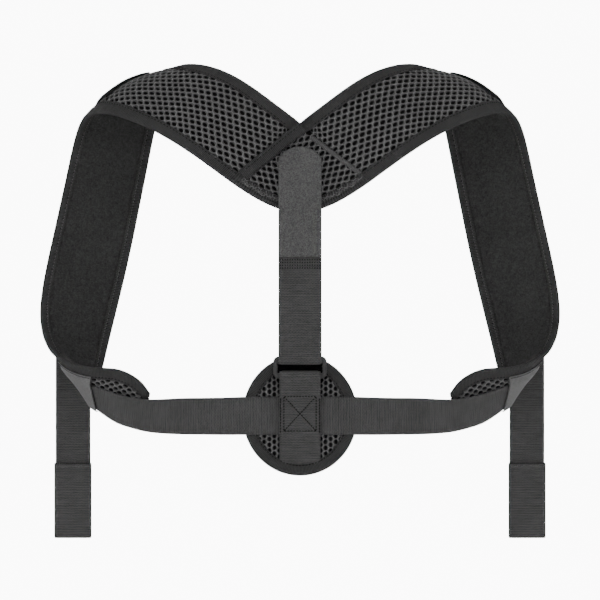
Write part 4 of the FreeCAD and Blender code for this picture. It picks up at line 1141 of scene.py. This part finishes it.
# ---------------------------------------------------------------- centre strap
CW, LW = 36.0, 34.2
y_back = -8.0
y_tail = y_back - 1.4 - 1.15
yb, yf = BB - 0.25 - 0.7 + 0.0, BB - BTH - 0.25 - 0.7
yb = BB + 0.25 + 0.7
ym, rr = (yb + yf) / 2, (yb - yf) / 2
bar_low = BT - 5.4
o = yz_band("centre_strap_back", [(y_back, 6.0), (y_back, -25.0), (y_back, -60.0), (y_back, -100.0), (y_back, -128.0), (y_back - 0.2, -140.0), (yb, -150.0), (yb, BT + 0.2)], CW, 1.4, M_WEB, wob=0.06, seed=71)
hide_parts("strap_back")
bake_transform(o)
arc = [(yb, BT + 0.9), (yb, bar_low + 0.8)]
for a in range(20, 180, 20):
    arc.append((ym + rr * math.cos(math.radians(a)), bar_low + 0.6 - 1.55 * math.sin(math.radians(a))))
arc += [(yf, bar_low + 0.8), (yf, BT + 0.9)]
o = yz_band("centre_strap_turn", arc, CW, 1.4, M_WEB, step=0.8, seed=73)
ride(o, "buckle", "strap_turn", slot="webbing")
o = yz_band("centre_strap_return", [(yf, BT + 0.2), (yf, -152.0), (yf + 0.8, -144.0), (y_tail - 0.9, -130.0), (y_tail - 0.1, -116.0), (y_tail, -105.0), (y_tail, -95.0), (y_tail, -85.0), (y_tail, -73.6)], CW, 1.4, M_WEB, wob=0.10, seed=75)
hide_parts("strap_return", "strap_joint")
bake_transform(o)


def arc_slab(name, y0, thick, width, z0, z1, rise, mat, wob, seed, nx=25, nz=64):
    w = width / 2
    r = (w * w + rise * rise) / (2 * rise)
    xs = np.linspace(-1, 1, nx)
    xs = np.sign(xs) * (1 - (1 - np.abs(xs)) ** 1.25)
    secs, uv = [], []
    for t in np.linspace(0, 1, nz):
        t2 = 1 - (1 - t) ** 1.4
        front, back = [], []
        for x in xs * w:
            ze = z1 - r + math.sqrt(r * r - x * x)
            zz = z0 + (ze - z0) * t2
            e = min(w - abs(x), ze - zz, 3.0)
            round_ = math.sqrt(max(0.0, 1 - (1 - min(e / 0.8, 1.0)) ** 2))
            h = thick / 2 * max(round_, 0.12)
            o_ = wob * (wav([zz + 300 + x * 0.7], seed, 13.0)[0] + 0.5 * wav([zz * 2 + 400 + x * 3.1], seed + 1, 9.0)[0])
            front.append((x, y0 + thick / 2 - h + o_ if False else y0 - h + o_, zz))
            back.append((x, y0 + h + o_, zz))
        secs.append(front + back[::-1])
        uv.append([(p[0], p[2]) for p in front] + [(p[0] + 200, p[2]) for p in back[::-1]])
    V, F = tube(np.array(secs))
    return fix_normals(make(name, V, F, mat, uv=np.array(uv).reshape(-1, 2)))


ride(arc_slab("tail_web", y_tail, 1.4, CW, -73.3, 19.2, 10.0, M_WEB, 0.05, 81), "tail_tab", "tail_tab", slot="webbing")
ride(arc_slab("tail_loops", y_tail - 0.98, 0.7, CW - 0.5, -73.0, 18.9, 10.0, M_LOOP, 0.09, 83), "tail_tab", "tail_loop_face", slot="loop_tape")
ride(arc_slab("tail_hooks", y_tail + 1.05, 0.6, CW - 4.0, -62.0, 16.2, 9.0, M_HOOK, 0.0, 85), "tail_tab", "tail_hook_patch", slot="hook_tape")
P, T = [], []
for z in (-75.0, -77.3, -79.6, -81.9):
    for x in np.arange(-16.4, 16.5, 2.05):
        P.append((x, y_tail - 0.82, z))
P = np.array(P)
ride(stitch_mesh("joint_threads", P, np.tile([1.0, 0, 0], (len(P), 1)), np.tile([0, -1.0, 0], (len(P), 1)), M_THREAD_D, length=1.25, rad=0.48, jitter=0.15), "tail_carrier", "joint_stitches", slot="thread")

# loop webbing on the spine pad
ylb, ylf = BB + 1.25 + 0.7, BB - BTH - 1.25 - 0.7
rl = (ylb - ylf) / 2
low_top = BT - BH + 4.4
y_l1 = -9.15
y_l0 = y_l1 - 1.5
path = [(y_l1 + 0.6, -196.0), (y_l1, -188.0), (ylb, -181.0), (ylb, -175.0), (ylb, low_top - 0.6)]
for a in range(20, 180, 20):
    path.append((ym + rl * math.cos(math.radians(a)), low_top - 0.5 + 1.9 * math.sin(math.radians(a))))
path += [(ylf, low_top - 0.6), (ylf + 0.3, -175.0), (y_l0 - 1.4, -182.5), (y_l0 - 0.1, -189.5), (y_l0, -200.0), (y_l0, -211.0), (y_l0 + 0.1, -219.0), (-9.7, -225.5), (-7.9, -232.0), (-6.6, -237.5), (-5.9, -242.0), (-4.9, -246.0), (-4.0, -249.5)]
o = yz_band("loop_web", path, LW, 1.4, M_WEB, wob=0.07, seed=91, step=1.2)
ride(o, "spine_pad", "loop_webbing", slot="webbing")


def line_stitches(p, q, pitch):
    p, q = np.array(p, float), np.array(q, float)
    L_ = np.linalg.norm(q - p)
    n = int(L_ / pitch)
    t = (np.arange(n) + 0.5) / n
    return p + (q - p) * t[:, None], np.tile((q - p) / L_, (n, 1))


yx = y_l0 - 0.80
bx = [((-13.4, -217.3), (13.4, -217.3)), ((13.4, -217.3), (13.4, -188.6)), ((13.4, -188.6), (-13.4, -188.6)), ((-13.4, -188.6), (-13.4, -217.3)),
      ((-13.4, -217.3), (13.4, -188.6)), ((-13.4, -188.6), (13.4, -217.3)),
      ((-16.2, -219.0), (-16.2, -190.0)), ((16.2, -190.0), (16.2, -219.0))]
PP, TTs = [], []
for (x0, z0), (x1, z1) in bx:
    a, t = line_stitches((x0, yx, z0), (x1, yx, z1), 2.3)
    PP.append(a)
    TTs.append(t)
PP, TTs = np.concatenate(PP), np.concatenate(TTs)
ride(stitch_mesh("box_threads", PP, TTs, np.tile([0, -1.0, 0], (len(PP), 1)), M_THREAD_D, length=2.2, rad=0.45, jitter=0.05), "spine_pad", "box_stitches", slot="thread")

# ---------------------------------------------------------------- stage and light
def stage_white(name):
    m, nt, bs = nodes_of(name)
    g = NT(nt)
    tc = g.n("ShaderNodeTexCoord")
    f = g.noise(tc.outputs["Object"], 0.5, 2.0)
    g.link(g.ramp(f, [(0.3, (0.80, 0.80, 0.80)), (0.7, (0.82, 0.82, 0.82))]), bs.inputs["Base Color"])
    bs.inputs["Roughness"].default_value = 0.95
    bs.inputs["Specular IOR Level"].default_value = 0.0
    # the far wall is lit on its own, strongest straight behind the object
    nv = g.n("ShaderNodeVectorMath", operation="NORMALIZE")
    g.link(tc.outputs["Object"], nv.inputs[0])
    sp = g.n("ShaderNodeSeparateXYZ")
    g.link(nv.outputs[0], sp.inputs[0])
    mr = g.n("ShaderNodeMapRange", interpolation_type="SMOOTHSTEP")
    for i, v in enumerate((0.95, 0.972, 0.20, 9.5)):
        mr.inputs[i + 1].default_value = v
    g.link(sp.outputs[1], mr.inputs[0])
    g.link(mr.outputs[0], bs.inputs["Emission Strength"])
    bs.inputs["Emission Color"].default_value = (1, 1, 1, 1)
    return m


prof = [(0.0, -1.5), (3.0, -1.5), (5.0, -1.5)]
for i in range(1, 15):
    a = math.pi / 2 * i / 14
    prof.append((5.0 + 3.0 * math.sin(a), -1.5 + 3.0 * (1 - math.cos(a))))
prof.append((8.0, 7.0))
prof = np.array(prof)
tt = np.linspace(0, 2 * math.pi, 96, endpoint=False)
secs = np.stack([np.cos(tt)[:, None] * prof[None, :, 0], np.sin(tt)[:, None] * prof[None, :, 0], np.broadcast_to(prof[None, :, 1], (96, len(prof)))], 2)
floor = make("floor", secs.reshape(-1, 3) / MM, quads(96, len(prof), True, False), stage_white("m_floor"))

world = bpy.data.worlds.new("world")
bpy.context.scene.world = world
world.use_nodes = True
world.node_tree.nodes["Background"].inputs[0].default_value = (1, 1, 1, 1)
world.node_tree.nodes["Background"].inputs[1].default_value = 0.20


def area(name, loc, target, size, power):
    l = bpy.data.lights.new(name, "AREA")
    l.shape = "RECTANGLE"
    l.size, l.size_y = size
    l.energy = power
    o = bpy.data.objects.new(name, l)
    o.location = loc
    from mathutils import Vector
    d = Vector(target) - Vector(loc)
    o.rotation_euler = d.to_track_quat("-Z", "Y").to_euler()
    bpy.context.collection.objects.link(o)


area("key", (-0.5, -1.9, 1.9), (0, 0, -0.1), (1.4, 1.2), 8.2)
area("left", (-2.0, -1.3, 0.1), (0, 0, -0.12), (1.2, 1.6), 4.6)
area("right", (2.0, -1.3, 0.1), (0, 0, -0.12), (1.2, 1.6), 4.2)
area("back", (0.0, 1.4, 2.2), (0, 0.1, -0.1), (2.0, 0.8), 4)
